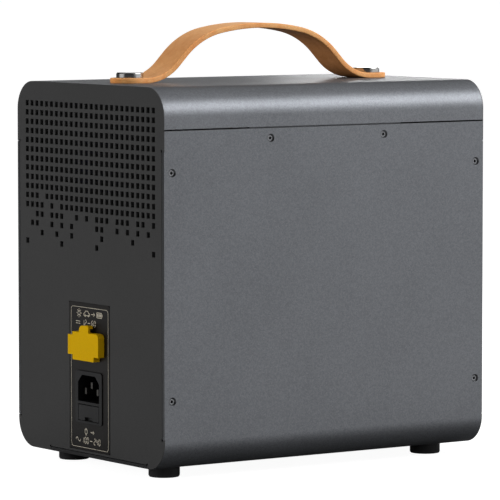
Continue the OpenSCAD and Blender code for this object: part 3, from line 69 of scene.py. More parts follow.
class Tree:
    """A material's node tree with short calls for the nodes that the finishes share."""

    def __init__(self, name):
        self.material = bpy.data.materials.new(name)
        self.material.use_nodes = True
        self.nodes = self.material.node_tree.nodes
        self.links = self.material.node_tree.links
        self.shader = next(n for n in self.nodes if n.type == "BSDF_PRINCIPLED")
        self.place = self.nodes.new("ShaderNodeTexCoord").outputs["Object"]

    def set(self, **sockets):
        """Plain values of the shader's sockets, with _ for a space in their names."""
        for name, value in sockets.items():
            self.shader.inputs[name.replace("_", " ")].default_value = value

    def stretched(self, scale, source=None):
        """Coordinates stretched along the axes."""
        node = self.nodes.new("ShaderNodeMapping")
        node.inputs["Scale"].default_value = scale
        self.links.new(source or self.place, node.inputs["Vector"])
        return node.outputs["Vector"]

    def noise(self, per_metre, detail=3.0, place=None, distortion=0.0):
        node = self.nodes.new("ShaderNodeTexNoise")
        node.inputs["Scale"].default_value = per_metre
        node.inputs["Detail"].default_value = detail
        node.inputs["Distortion"].default_value = distortion
        self.links.new(place or self.place, node.inputs["Vector"])
        return node.outputs["Fac"]

    def cells(self, per_metre, place=None, feature="F1", output="Distance"):
        node = self.nodes.new("ShaderNodeTexVoronoi")
        node.feature = feature
        node.inputs["Scale"].default_value = per_metre
        self.links.new(place or self.place, node.inputs["Vector"])
        return node.outputs[output]

    def spread(self, value, from_low, from_high, to_low, to_high):
        node = self.nodes.new("ShaderNodeMapRange")
        for socket, number in zip(("From Min", "From Max", "To Min", "To Max"),
                                  (from_low, from_high, to_low, to_high)):
            node.inputs[socket].default_value = number
        self.links.new(value, node.inputs["Value"])
        return node.outputs["Result"]

    def math(self, operation, a, b):
        node = self.nodes.new("ShaderNodeMath")
        node.operation = operation
        for socket, value in zip(node.inputs, (a, b)):
            if isinstance(value, (int, float)):
                socket.default_value = value
            else:
                self.links.new(value, socket)
        return node.outputs["Value"]

    def mix(self, factor, a, b):
        node = self.nodes.new("ShaderNodeMix")
        node.data_type = "RGBA"
        colours = [s for s in node.inputs if s.type == "RGBA"]
        self.links.new(factor, node.inputs["Factor"])
        for socket, value in zip(colours, (a, b)):
            if isinstance(value, tuple):
                socket.default_value = value
            else:
                self.links.new(value, socket)
        return next(s for s in node.outputs if s.type == "RGBA")

    def axis(self, letter):
        node = self.nodes.new("ShaderNodeSeparateXYZ")
        self.links.new(self.place, node.inputs["Vector"])
        return node.outputs[letter]

    def within(self, **spans):
        """1 inside the given spans of X, Y or Z, in metres, and 0 outside them."""
        inside = 1.0
        for letter, (low, high) in spans.items():
            from_middle = self.math("SUBTRACT", self.axis(letter), (low + high) / 2)
            off = self.math("ABSOLUTE", from_middle, 0)
            inside = self.math("MULTIPLY", self.math("LESS_THAN", off, (high - low) / 2), inside)
        return inside

    def shade(self, colour, value):
        """A colour made lighter or darker by a factor around 1."""
        node = self.nodes.new("ShaderNodeHueSaturation")
        if isinstance(colour, tuple):
            node.inputs["Color"].default_value = colour
        else:
            self.links.new(colour, node.inputs["Color"])
        self.links.new(value, node.inputs["Value"])
        return node.outputs["Color"]

    def bump(self, height, distance, strength=1.0, below=None):
        node = self.nodes.new("ShaderNodeBump")
        node.inputs["Distance"].default_value = distance
        node.inputs["Strength"].default_value = strength
        self.links.new(height, node.inputs["Height"])
        if below is not None:
            self.links.new(below, node.inputs["Normal"])
        return node.outputs["Normal"]

    def to(self, name, value):
        self.links.new(value, self.shader.inputs[name])


class WorldTree(Tree):
    """The world's node tree with the same short calls."""

    def __init__(self, world):
        world.use_nodes = True
        self.nodes = world.node_tree.nodes
        self.links = world.node_tree.links
        self.shader = next(n for n in self.nodes if n.type == "BACKGROUND")
        self.place = self.nodes.new("ShaderNodeTexCoord").outputs["Generated"]


# ---- finishes ----

def grained(name, colour, roughness, metallic=0.0, specular=0.5, grain=1500, contrast=0.12,
            mottle=0.06, bump=0.02, stretch=(1, 1, 1)):
    """A plain finish with fine grain, slow mottling and uneven gloss. bump is in millimetres."""
    t = Tree(name)
    t.set(Metallic=metallic, Specular_IOR_Level=specular)
    place = t.stretched(stretch)
    fine = t.noise(grain, 2.0, place)
    slow = t.noise(28, 3.0)
    tone = t.math("ADD", t.spread(fine, 0.3, 0.7, 1 - contrast, 1 + contrast),
                  t.spread(slow, 0.3, 0.7, -mottle, mottle))
    t.to("Base Color", t.shade(colour, tone))
    t.to("Roughness", t.spread(slow, 0.3, 0.7, roughness - 0.05, roughness + 0.05))
    t.to("Normal", t.bump(fine, bump * MM))
    return t.material


def powder_coat(name, colour, roughness, metallic, flake=0.2, peel=0.03, specular=0.5, zones=()):
    """Textured coat: an orange peel of fine grains with scattered lighter and darker flakes.

    Each zone is a colour and the spans of X, Y or Z inside which the coat has it, in metres.
    peel is in millimetres.
    """
    t = Tree(name)
    for inner, spans in zones:
        colour = t.mix(t.within(**spans), colour, inner)
    t.set(Metallic=metallic, Specular_IOR_Level=specular)
    grains = t.noise(2500, 2.0)
    flakes = t.cells(1450, output="Color")
    slow = t.noise(18, 3.0)
    tone = t.math("ADD", t.spread(flakes, 0.0, 1.0, 1 - flake, 1 + flake),
                  t.spread(slow, 0.3, 0.7, -0.04, 0.04))
    t.to("Base Color", t.shade(colour, tone))
    t.to("Roughness", t.spread(grains, 0.3, 0.7, roughness - 0.06, roughness + 0.06))
    t.to("Normal", t.bump(grains, peel * MM))
    return t.material


def brushed(name, colour, roughness, stretch, contrast=0.1):
    """Bare metal with fine lines along one axis."""
    t = Tree(name)
    t.set(Metallic=1.0)
    lines = t.noise(600, 4.0, t.stretched(stretch))
    slow = t.noise(40, 3.0)
    tone = t.math("ADD", t.spread(lines, 0.3, 0.7, 1 - contrast, 1 + contrast),
                  t.spread(slow, 0.3, 0.7, -0.06, 0.06))
    t.to("Base Color", t.shade(colour, tone))
    t.to("Roughness", t.spread(lines, 0.3, 0.7, roughness - 0.06, roughness + 0.08))
    t.to("Normal", t.bump(lines, 0.006 * MM))
    return t.material


def circuit_board(name, mask, copper):
    """Solder mask with traces that show through it, and small pads."""
    t = Tree(name)
    t.set(Roughness=0.32)
    traces = t.cells(220, t.stretched((1, 0.35, 1)), "DISTANCE_TO_EDGE")
    pads = t.cells(160)
    fine = t.noise(1800, 2.0)
    line = t.spread(traces, 0.02, 0.05, 1.0, 0.0)
    pad = t.spread(pads, 0.10, 0.13, 1.0, 0.0)
    under = t.mix(line, mask, tuple(0.6 * m + 0.4 * c for m, c in zip(mask, copper)))
    colour = t.mix(pad, under, copper)
    t.to("Base Color", t.shade(colour, t.spread(fine, 0.3, 0.7, 0.9, 1.1)))
    t.to("Normal", t.bump(line, 0.03 * MM))
    return t.material


def leather(name, light, dark, edge_on=False, flesh=False):
    """Vegetable-tanned leather. Cut edges get streaks and the flesh side gets loose fibres."""
    t = Tree(name)
    along = t.nodes.new("ShaderNodeTexCoord").outputs["UV"]
    slow = t.noise(45, 4.0)
    clouds = t.noise(220, 4.0, distortion=0.6)
    blend = t.math("ADD", t.spread(slow, 0.3, 0.7, 0.0, 0.6), t.spread(clouds, 0.3, 0.7, -0.1, 0.4))
    colour = t.mix(blend, light, dark)
    if edge_on:
        streak = t.noise(1.0, 3.0, t.stretched((700, 2600, 1), along))
        colour = t.shade(colour, t.spread(streak, 0.3, 0.7, 0.80, 1.18))
        normal = t.bump(streak, 0.12 * MM)
        rough = 0.62
    elif flesh:
        fibre = t.noise(1.0, 5.0, t.stretched((900, 1500, 1), along))
        colour = t.shade(colour, t.spread(fibre, 0.3, 0.7, 0.86, 1.12))
        normal = t.bump(fibre, 0.15 * MM)
        rough = 0.8
    else:
        pores = t.cells(620, feature="SMOOTH_F1")
        grain = t.noise(1400, 3.0)
        creases = t.noise(1.0, 3.0, t.stretched((520, 60, 1), along))
        colour = t.shade(colour, t.spread(grain, 0.3, 0.7, 0.93, 1.06))
        normal = t.bump(pores, 0.07 * MM, below=t.bump(creases, 0.10 * MM))
        rough = 0.42
        t.set(Sheen_Weight=0.35, Sheen_Tint=rgb(255, 206, 150))
    t.to("Base Color", colour)
    t.to("Roughness", t.spread(clouds, 0.3, 0.7, rough - 0.07, rough + 0.07))
    t.to("Normal", normal)
    return t.material


def glazed(name, colour, roughness, **sockets):
    """Smooth moulded or polished surface with a trace of wipe marks."""
    t = Tree(name)
    t.set(**sockets)
    wipes = t.noise(90, 5.0, t.stretched((1, 1, 4)))
    t.to("Base Color", t.shade(colour, t.spread(wipes, 0.3, 0.7, 0.95, 1.05)))
    t.to("Roughness", t.spread(wipes, 0.3, 0.7, roughness, roughness + 0.06))
    t.to("Normal", t.bump(wipes, 0.004 * MM))
    return t.material


# ---- meshes ----

def mesh_piece(name, verts, faces, materials, face_material=None, smooth=True):
    """A mesh in the row frame, made from points in metres."""
    mesh = bpy.data.meshes.new(name)
    mesh.from_pydata([tuple(v) for v in verts], [], faces)
    for m in materials:
        mesh.materials.append(m)
    for i, polygon in enumerate(mesh.polygons):
        polygon.use_smooth = smooth
        if face_material:
            polygon.material_index = face_material[i]
    piece = bpy.data.objects.new(name, mesh)
    bpy.context.scene.collection.objects.link(piece)
    return piece


def arc(centre, radius, from_deg, to_deg, steps):
    """Points of an arc as (across, up) pairs. Angles turn from +across towards +up."""
    span = to_deg - from_deg
    angles = [radians(from_deg + span * i / steps) for i in range(steps + 1)]
    return [(centre[0] + radius * cos(a), centre[1] + radius * sin(a)) for a in angles]


class Marks:
    """Thin raised print on a flat face, drawn in millimetres from a middle point."""

    def __init__(self, middle, right, up, height=0.06 * MM):
        self.middle = Vector(middle)
        self.right = Vector(right)
        self.up = Vector(up)
        self.out = self.right.cross(self.up) * height
        self.verts = []
        self.faces = []

    def patch(self, corners):
        """A flat patch with a skirt down to the face that carries it."""
        base = len(self.verts)
        n = len(corners)
        for lift in (0, 1):
            for x, z in corners:
                point = self.middle + (self.right * x + self.up * z) * MM
                self.verts.append(point + self.out * lift)
        self.faces.append(tuple(base + n + i for i in range(n)))
        for i in range(n):
            j = (i + 1) % n
            self.faces.append((base + i, base + j, base + n + j, base + n + i))

    def stroke(self, points, width, closed=False):
        """A line of even width through the points, with mitred corners."""
        points = [Vector(p) for p in points]
        n = len(points)
        sides = []
        for i, point in enumerate(points):
            before = points[i - 1] if (i > 0 or closed) else point
            after = points[(i + 1) % n] if (i < n - 1 or closed) else point
            into = (point - before).normalized() if before != point else (after - point).normalized()
            away = (after - point).normalized() if after != point else into
            normal = Vector((-(into.y + away.y), into.x + away.x)).normalized()
            reach = width / 2 / max(0.4, normal.dot(Vector((-into.y, into.x))))
            sides.append((point + normal * reach, point - normal * reach))
        for i in range(n if closed else n - 1):
            a, b = sides[i], sides[(i + 1) % n]
            self.patch([tuple(a[1]), tuple(b[1]), tuple(b[0]), tuple(a[0])])

    def dash(self, x, z, length, width):
        """A level stroke, centred on a point."""
        self.stroke([(x - length / 2, z), (x + length / 2, z)], width)

    def bar(self, x, z, width, height):
        """A filled rectangle, centred on a point."""
        w, h = width / 2, height / 2
        self.patch([(x - w, z - h), (x + w, z - h), (x + w, z + h), (x - w, z + h)])

    def disc(self, centre, radius, steps=24):
        self.patch(arc(centre, radius, 0, 360 - 360 / steps, steps - 1))

    def piece(self, name, material, body, slot):
        made = mesh_piece(name, self.verts, self.faces, [material], smooth=False)
        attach(made, body)
        return made


# ---- the strap ----

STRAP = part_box("handle_strap")
STRAP_W = STRAP[1].x - STRAP[0].x
STRAP_T = 3.3 * MM
STRAP_RISE = STRAP[1].z - STRAP[0].z - STRAP_T
STRAP_MID_Y = (STRAP[0].y + STRAP[1].y) / 2
STRAP_SPAN = STRAP[1].y - STRAP[0].y - STRAP_W
STRAP_SLOPE = radians(46)
CROWN_TURN = radians(11.4)
SHOULDER_R = 52.5 * MM
LOWER_R = 33.5 * MM
STRAP_FLAT = 5 * MM
EDGE_ROUND = 0.5 * MM
# Columns along the strap, and steps round an end, across the width and round an edge
COLUMNS, END_STEPS, ACROSS, EDGE_STEPS = 150, 12, 8, 3
GRAIN, CUT_EDGE, FLESH = 0, 1, 2


def strap_pieces():
    """Lengths and curvatures of one half of the strap's middle line, from the crown to a rivet."""
    run = STRAP_SPAN / 2 - STRAP_FLAT - SHOULDER_R * (sin(STRAP_SLOPE) - sin(CROWN_TURN))
    run -= LOWER_R * sin(STRAP_SLOPE)
    rise = STRAP_RISE - SHOULDER_R * (cos(CROWN_TURN) - cos(STRAP_SLOPE))
    rise -= LOWER_R * (1 - cos(STRAP_SLOPE))
    s, c = sin(STRAP_SLOPE), cos(STRAP_SLOPE)
    st, ct = sin(CROWN_TURN), 1 - cos(CROWN_TURN)
    det = st * s - ct * c
    crown_r = (run * s - rise * c) / det
    straight = (rise * st - run * ct) / det
    return [
        (crown_r * CROWN_TURN, -1 / crown_r),
        (SHOULDER_R * (STRAP_SLOPE - CROWN_TURN), -1 / SHOULDER_R),
        (straight, 0.0),
        (LOWER_R * STRAP_SLOPE, 1 / LOWER_R),
        (STRAP_FLAT + STRAP_W / 2, 0.0),
    ]


def strap_point(distance):
    """Place (y, z) and slope of the strap's middle line, at a distance from the crown."""
    y, z, turn = 0.0, STRAP_RISE, 0.0
    left = abs(distance)
    for length, curve in strap_pieces():
        step = min(left, length)
        if curve:
            y += (sin(turn + curve * step) - sin(turn)) / curve
            z -= (cos(turn + curve * step) - cos(turn)) / curve
        else:
            y += step * cos(turn)
            z += step * sin(turn)
        turn += curve * step
        left -= step
    side = 1 if distance >= 0 else -1
    return side * y, z, side * turn


def strap_levels():
    """(inset, height) of each ring of the strap's wall, from its underside to its top."""
    lower = []
    for i in range(EDGE_STEPS + 1):
        turn = pi / 2 * (1 - i / EDGE_STEPS)
        lower.append((EDGE_ROUND * (1 - cos(turn)), -STRAP_T / 2 + EDGE_ROUND * (1 - sin(turn))))
    return lower + [(inset, -height) for inset, height in reversed(lower)]


def strap_outline(inset):
    """Pairs of (distance along, half width) from one end to the other, moved inwards by an inset."""
    reach = sum(length for length, _ in strap_pieces()) - STRAP_W / 2
    radius = STRAP_W / 2 - inset
    turns = [pi / 2 * i / END_STEPS for i in range(END_STEPS, 0, -1)]
    far = [(reach + radius * sin(a), radius * cos(a)) for a in turns]
    near = [(-s, w) for s, w in reversed(far)]
    middle = [(reach * (1 - 2 * i / COLUMNS), radius) for i in range(COLUMNS + 1)]
    return far + middle + near


class StrapMesh:
    """The leather: a wall with rounded edges, closed above and below by strips across the width."""

    def __init__(self):
        self.verts, self.uvs = [], []
        self.faces, self.kinds = [], []
        levels = strap_levels()
        rings = [self.ring(inset, height) for inset, height in levels]
        for low, high in zip(rings, rings[1:]):
            self.wall(low, high)
        self.cover(rings[0], levels[0][1], FLESH)
        self.cover(rings[-1], levels[-1][1], GRAIN)

    def put(self, s, x, height):
        """A point at a distance along the strap, an offset across it and a height in it."""
        y, z, turn = strap_point(s)
        y += STRAP_MID_Y - height * sin(turn)
        z += STRAP[0].z + STRAP_T / 2 + height * cos(turn)
        self.verts.append((x, y, z))
        self.uvs.append((s, x + 2 * height))
        return len(self.verts) - 1

    def ring(self, inset, height):
        pairs = strap_outline(inset)
        right = [self.put(s, w, height) for s, w in pairs]
        left = [self.put(s, -w, height) for s, w in pairs]
        return right + left[::-1]

    def wall(self, low, high):
        for i in range(len(low)):
            j = (i + 1) % len(low)
            self.faces.append((low[i], high[i], high[j], low[j]))
            self.kinds.append(CUT_EDGE)

    def cover(self, ring, height, kind):
        """Closes a ring by rows of quads across the strap."""
        rows = []
        for i, (s, w) in enumerate(strap_outline(EDGE_ROUND)):
            inner = [self.put(s, w * (1 - 2 * k / ACROSS), height) for k in range(1, ACROSS)]
            rows.append([ring[i]] + inner + [ring[-1 - i]])
        for a, b in zip(rows, rows[1:]):
            for k in range(ACROSS):
                quad = (a[k], a[k + 1], b[k + 1], b[k])
                self.faces.append(quad if kind == GRAIN else quad[::-1])
                self.kinds.append(kind)


def strap():
    made = StrapMesh()
    skins = [
        leather("leather_grain", rgb(214, 154, 98), rgb(195, 128, 72)),
        leather("leather_cut_edge", rgb(242, 182, 114), rgb(228, 144, 74), edge_on=True),
        leather("leather_flesh", rgb(192, 132, 82), rgb(164, 108, 62), flesh=True),
    ]
    piece = mesh_piece("leather_strap", made.verts, made.faces, skins, made.kinds)
    layer = piece.data.uv_layers.new(name="along")
    for loop in piece.data.loops:
        layer.data[loop.index].uv = made.uvs[loop.vertex_index]
    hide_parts("handle_strap")
    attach(piece, "case")


# ---- printed marks ----

REAR_RIGHT = (-1, 0, 0)
FRONT_RIGHT = (1, 0, 0)
UP = (0, 0, 1)
LINE = 0.42


def rounded(width, height, radius, steps=6):
    """A rounded rectangle round the middle, as points in millimetres."""
    w, h = width / 2 - radius, height / 2 - radius
    corners = [((w, h), 0), ((-w, h), 90), ((-w, -h), 180), ((w, -h), 270)]
    return [p for centre, start in corners for p in arc(centre, radius, start, start + 90, steps)]


def moved(points, x, z):
    return [(px + x, pz + z) for px, pz in points]


def sun(marks, x, z, size):
    marks.stroke(moved(arc((0, 0), size * 0.24, 0, 345, 23), x, z), LINE, closed=True)
    for i in range(8):
        a = pi / 4 * i
        marks.stroke([(x + size * r * cos(a), z + size * r * sin(a)) for r in (0.36, 0.5)], LINE)


def car(marks, x, z, size):
    body = [(-0.6, -0.2), (-0.6, 0.02), (-0.42, 0.06), (-0.26, 0.3), (0.22, 0.3), (0.4, 0.06),
            (0.6, 0.0), (0.6, -0.2)]
    marks.stroke(moved([(size * px, size * pz) for px, pz in body], x, z), LINE, closed=True)
    for side in (-0.34, 0.34):
        marks.disc((x + size * side, z - size * 0.22), size * 0.13)


def arrow(marks, x, z, size):
    marks.dash(x, z, size, LINE)
    head = [(size * 0.2, size * 0.28), (size / 2, 0), (size * 0.2, -size * 0.28)]
    marks.stroke(moved(head, x, z), LINE)


def battery(marks, x, z, size):
    marks.stroke(moved(rounded(size * 1.1, size * 0.6, size * 0.08, 2), x, z), LINE, closed=True)
    marks.bar(x + size * 0.64, z, size * 0.12, size * 0.28)
    for i in (-1, 0, 1):
        marks.bar(x + size * 0.3 * i, z, size * 0.18, size * 0.36)


def direct_current(marks, x, z, size):
    marks.dash(x, z + size * 0.14, size, LINE)
    for i in (-1, 0, 1):
        marks.dash(x + size * 0.36 * i, z - size * 0.14, size * 0.26, LINE)


def alternating_current(marks, x, z, size):
    wave = [(x + size * (i / 24 - 0.5), z + size * 0.22 * sin(2 * pi * i / 24)) for i in range(25)]
    marks.stroke(wave, LINE)


def plug(marks, x, z, size):
    shell = [(-size * 0.3, size * 0.28)] + arc((0, -size * 0.02), size * 0.3, 180, 360, 10)
    shell.append((size * 0.3, size * 0.28))
    marks.stroke(moved(shell, x, z), LINE, closed=True)
    for side in (-0.14, 0.14):
        marks.stroke([(x + size * side, z + size * 0.28), (x + size * side, z + size * 0.5)], LINE)
    marks.stroke([(x, z - size * 0.32), (x, z - size * 0.55)], LINE)


def numeral(marks, text, x, z):
    """A small plain number, centred on x."""
    pitch, width, height = 2.8, 1.7, 3.8
    for i, figure in enumerate(text):
        digit(marks, figure, x + pitch * (i - (len(text) - 1) / 2), z, width, height, LINE)


def rear_marks():
    """Frame line, and plain symbols and numbers in two rows above and below the inlets."""
    _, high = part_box("label_plate")
    cream = grained("print_cream", rgb(214, 206, 188), 0.6, specular=0.3, grain=2600, bump=0.01)
    frame_line(cream, high.y)
    battery_inlet_marks(cream, high.y)
    mains_inlet_marks(cream, high.y)


def frame_line(cream, face_y):
    """The thin rounded line near the plate's rim."""
    width, low, high, radius = 44.0, 13.6, 104.2, 2.2
    off_middle, line_width = 0.5, 0.27
    line = Marks((0, face_y, (low + high) / 2 * MM), REAR_RIGHT, UP)
    line.stroke(moved(rounded(width, high - low, radius), off_middle, 0), line_width, closed=True)
    line.piece("plate_frame_line", cream, "case", "label_plate")


def battery_inlet_marks(cream, face_y):
    """Sun or car to battery, and 12 to 60 with the sign for direct current."""
    top = Marks((0, face_y, 97.2 * MM), REAR_RIGHT, UP)
    sun(top, -12.0, 3.0, 5.8)
    car(top, -2.8, 3.0, 5.8)
    arrow(top, 4.6, 3.0, 4.0)
    battery(top, 12.0, 3.0, 5.4)
    direct_current(top, -13.2, -3.0, 5.0)
    numeral(top, "12", -5.6, -3.0)
    top.dash(-0.2, -3.0, 2.8, LINE)
    numeral(top, "60", 5.2, -3.0)
    top.piece("plate_battery_marks", cream, "case", "label_plate")


def mains_inlet_marks(cream, face_y):
    """Plug with an arrow, and 100 to 240 with the sign for alternating current."""
    bottom = Marks((0, face_y, 21.4 * MM), REAR_RIGHT, UP)
    plug(bottom, -4.0, 2.6, 4.6)
    arrow(bottom, 3.4, 2.6, 4.0)
    alternating_current(bottom, -13.4, -3.0, 5.6)
    numeral(bottom, "100", -4.8, -3.0)
    bottom.dash(2.0, -3.0, 2.8, LINE)
    numeral(bottom, "240", 9.0, -3.0)
    bottom.piece("plate_mains_marks", cream, "case", "label_plate")


def front_of(node):
    """Middle of a node's front face."""
    low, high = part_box(node)
    middle = (low + high) / 2
    return middle.x, low.y, middle.z


def button_mark(node, draw):
    """A symbol on a button's face, which moves with the button."""
    marks = Marks(front_of(node), FRONT_RIGHT, UP)
    draw(marks)
    white = grained(node + "_print", rgb(222, 222, 218), 0.5, grain=2600, contrast=0.06, bump=0.01)
    marks.piece(node + "_symbol", white, node, node)


def power_symbol(marks):
    marks.stroke(arc((0, 0), 3.6, 120, 420, 30), 0.7)
    marks.stroke([(0, 0.8), (0, 4.4)], 0.7)


def lamp_symbol(marks):
    marks.stroke(arc((0, 0.6), 2.0, -60, 240, 24), LINE)
    for z in (-1.6, -2.4):
        marks.dash(0, z, 1.8, LINE)


def data_symbol(marks):
    marks.stroke(rounded(5.6, 3.0, 0.5, 3), LINE, closed=True)
    marks.dash(0, 0.4, 3.4, 0.7)


SEGMENTS = {
    "0": "abcdef", "1": "bc", "2": "abged", "3": "abgcd", "4": "fgbc",
    "5": "afgcd", "6": "afgedc", "7": "abc", "8": "abcdefg", "9": "abcdfg",
}


def digit(marks, text, x, z, width, height, line):
    """A seven-segment numeral."""
    w, h, gap = width / 2, height / 2, line * 0.62
    ends = {
        "a": ((-w + gap, h), (w - gap, h)), "g": ((-w + gap, 0), (w - gap, 0)),
        "d": ((-w + gap, -h), (w - gap, -h)),
        "f": ((-w, h - gap), (-w, gap)), "b": ((w, h - gap), (w, gap)),
        "e": ((-w, -gap), (-w, -h + gap)), "c": ((w, -gap), (w, -h + gap)),
    }
    for name in SEGMENTS[text]:
        marks.stroke(moved(ends[name], x, z), line)


def glowing(name, colour, strength):
    """A lit display's print."""
    t = Tree(name)
    pixels = t.noise(2200, 1.0)
    t.to("Base Color", t.shade(colour, t.spread(pixels, 0.3, 0.7, 0.9, 1.05)))
    t.to("Emission Color", t.shade(colour, t.spread(pixels, 0.3, 0.7, 0.85, 1.1)))
    t.set(Roughness=0.4, Emission_Strength=strength)
    return t.material


def display_marks():
    """Charge level with its ten bars, and two power readings, on the display's face."""
    lit = glowing("display_lit", rgb(214, 236, 240), 0.55)
    face = Marks(front_of("display_lens"), FRONT_RIGHT, UP, 0.03 * MM)
    for i, text in enumerate("86"):
        digit(face, text, -6.2 + 12.4 * i, 0.5, 7.2, 15, 1.5)
    for side, texts in ((-1, "120"), (1, "245")):
        for i, text in enumerate(texts):
            digit(face, text, side * 29 + 5.4 * (i - 1), 1.5, 3.2, 7, 0.75)
        face.dash(side * 29, -5, 16, LINE)
    for i in range(10):
        face.bar(-20.25 + 4.5 * i, -13, 3.2, 2.4)
    face.piece("display_readings", lit, "case", "display_module")


# ---- case screws ----

# A countersunk screw with a hexagon socket, from the middle of its socket to the tip of its
# thread: (radius, depth below the side's face) in millimetres
SCREW_SOCKET = ((0.1, 2.4), (1.04, 2.3), (1.04, 1.0), (1.12, 0.92))
SCREW_OUTSIDE = ((1.66, 0.92), (1.8, 0.98), (1.82, 1.06), (1.2, 1.62), (1.2, 6.6), (0.8, 7.0))
SCREW_STEPS = 24
HEAD, SOCKET = 0, 1

# The case_screws node's head radius, the height of the upper corner screws and the distance
# between a side's two seam screws, in millimetres
HEAD_RADIUS = 2.3
UPPER_SCREW_Z = 194.5
SEAM_SCREWS_APART = 89.0


def screw_places():
    """Middles of the screw heads on one side, as (Y, Z) in metres."""
    low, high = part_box("case_screws")
    front, rear = low.y + HEAD_RADIUS * MM, high.y - HEAD_RADIUS * MM
    lower, seam = low.z + HEAD_RADIUS * MM, high.z - HEAD_RADIUS * MM
    middle = (front + rear) / 2
    half = SEAM_SCREWS_APART / 2 * MM
    corners = [(y, z) for y in (front, rear) for z in (lower, UPPER_SCREW_Z * MM)]
    return corners + [(middle - half, seam), (middle + half, seam)]


def hexagon_reach(angle):
    """Distance to a hexagon's side in that direction, where its corners are at 1."""
    off = (angle % (pi / 3)) - pi / 6
    return cos(pi / 6) / cos(off)


def screw_verts(middle, side):
    """Rings of one screw about X. The rings of its socket have six corners."""
    verts = []
    for radius, depth in SCREW_SOCKET + SCREW_OUTSIDE:
        for i in range(SCREW_STEPS):
            angle = 2 * pi * i / SCREW_STEPS
            reach = radius
            if (radius, depth) in SCREW_SOCKET:
                reach *= hexagon_reach(angle)
            spread = Vector((0, side * reach * cos(angle), reach * sin(angle)))
            verts.append(middle + (spread - Vector((side * depth, 0, 0))) * MM)
    return verts


def screw_faces(base):
    """Faces of one screw, and for each whether it belongs to the head or the socket."""
    faces, kinds = [], []
    last_ring = len(SCREW_SOCKET) + len(SCREW_OUTSIDE) - 1
    for ring in range(last_ring):
        for i in range(SCREW_STEPS):
            here, there = base + ring * SCREW_STEPS, base + (ring + 1) * SCREW_STEPS
            after = (i + 1) % SCREW_STEPS
            faces.append((here + i, there + i, there + after, here + after))
            kinds.append(SOCKET if ring < len(SCREW_SOCKET) - 2 else HEAD)
    tip = base + last_ring * SCREW_STEPS
    faces.append(tuple(range(base, base + SCREW_STEPS)))
    faces.append(tuple(reversed(range(tip, tip + SCREW_STEPS))))
    return faces, kinds + [SOCKET, HEAD]


def screw_heads():
    """All case screws, which sit deep in the countersinks of both sides."""
    low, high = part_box("side_wrap")
    steel = grained("screw_slate", rgb(136, 137, 140), 0.4, metallic=0.5, grain=4000, bump=0.004)
    # The socket faces are near black: painted shade deep in the hexagon socket.
    socket = grained("screw_socket_shade", rgb(30, 30, 32), 0.6, metallic=0.3, grain=4000, bump=0.004)
    verts, faces, kinds = [], [], []
    for side, face in ((-1, low.x), (1, high.x)):
        for y, z in screw_places():
            more_faces, more_kinds = screw_faces(len(verts))
            verts += screw_verts(Vector((face, y, z)), side)
            faces += more_faces
            kinds += more_kinds
    paint(steel, "case_screws")
    piece = mesh_piece("screw_heads", verts, faces, [steel, socket], kinds, smooth=False)
    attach(piece, "case")
    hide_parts("case_screws")


# ---- dressing the CAD nodes ----

def paint(material, *names):
    """Gives CAD nodes their finish."""
    for name in names:
        slots = NODES[name].data.materials
        slots.clear()
        slots.append(material)


def wrap_zones():
    """The side wrap's colours over that of its cut edges, from its faces to the seam. All but the
    slate are painted shade: in the countersinks and the outer strip of the cut edges, on the low rear
    cut edge, and on the top edge in the seam.
    """
    low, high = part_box("side_wrap")
    skin, shade_from, shade_to = 0.05 * MM, 0.06 * MM, 1.6 * MM
    above_bend = (30 * MM, high.z - 3 * MM)
    # Painted shade: the countersinks and the outer strip of the cut edges are darker than the slate.
    slate, countersink_and_edge_shade = rgb(109, 111, 115), rgb(66, 67, 69)
    low_rear_edge_shade, gap = rgb(58, 58, 59), rgb(34, 34, 35)
    return (
        (slate, {"Y": (low.y + skin, high.y - skin)}),
        (countersink_and_edge_shade, {"X": (low.x + shade_from, low.x + shade_to), "Z": above_bend}),
        (countersink_and_edge_shade, {"X": (high.x - shade_to, high.x - shade_from), "Z": above_bend}),
        # Painted shade on the lowest 12 mm of the rear cut edge.
        (low_rear_edge_shade, {"Y": (high.y - skin, high.y + MM), "Z": (0, 12 * MM)}),
        # Painted shade: the wrap's top edge is near black in the seam.
        (gap, {"Z": (high.z - 0.14 * MM, high.z + MM)}),
    )


def paint_case():
    """Powder-coated sheets. The cover's faces inside the side wrap, with its flange, are near black:
    painted shade in the seam.
    """
    low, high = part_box("side_wrap")
    past_sheet = 2.3 * MM
    flange = {"X": (low.x + past_sheet, high.x - past_sheet), "Z": (0, high.z + 10 * MM)}
    # The second colour is near black: painted shade on the cover's inner faces and flange, seen
    # through the seam.
    cut_edge, flange_shade = rgb(79, 80, 83), rgb(22, 22, 23)
    paint(powder_coat("coat_slate", cut_edge, 0.42, 0.7, zones=wrap_zones()), "side_wrap")
    paint(powder_coat("coat_slate_cover", rgb(111, 113, 117), 0.42, 0.7, zones=((flange_shade, flange),)),
          "top_cover")
    paint(powder_coat("coat_charcoal", rgb(66, 66, 66), 0.7, 0.0, 0.08, 0.02, specular=0.2),
          "rear_panel", "front_panel")


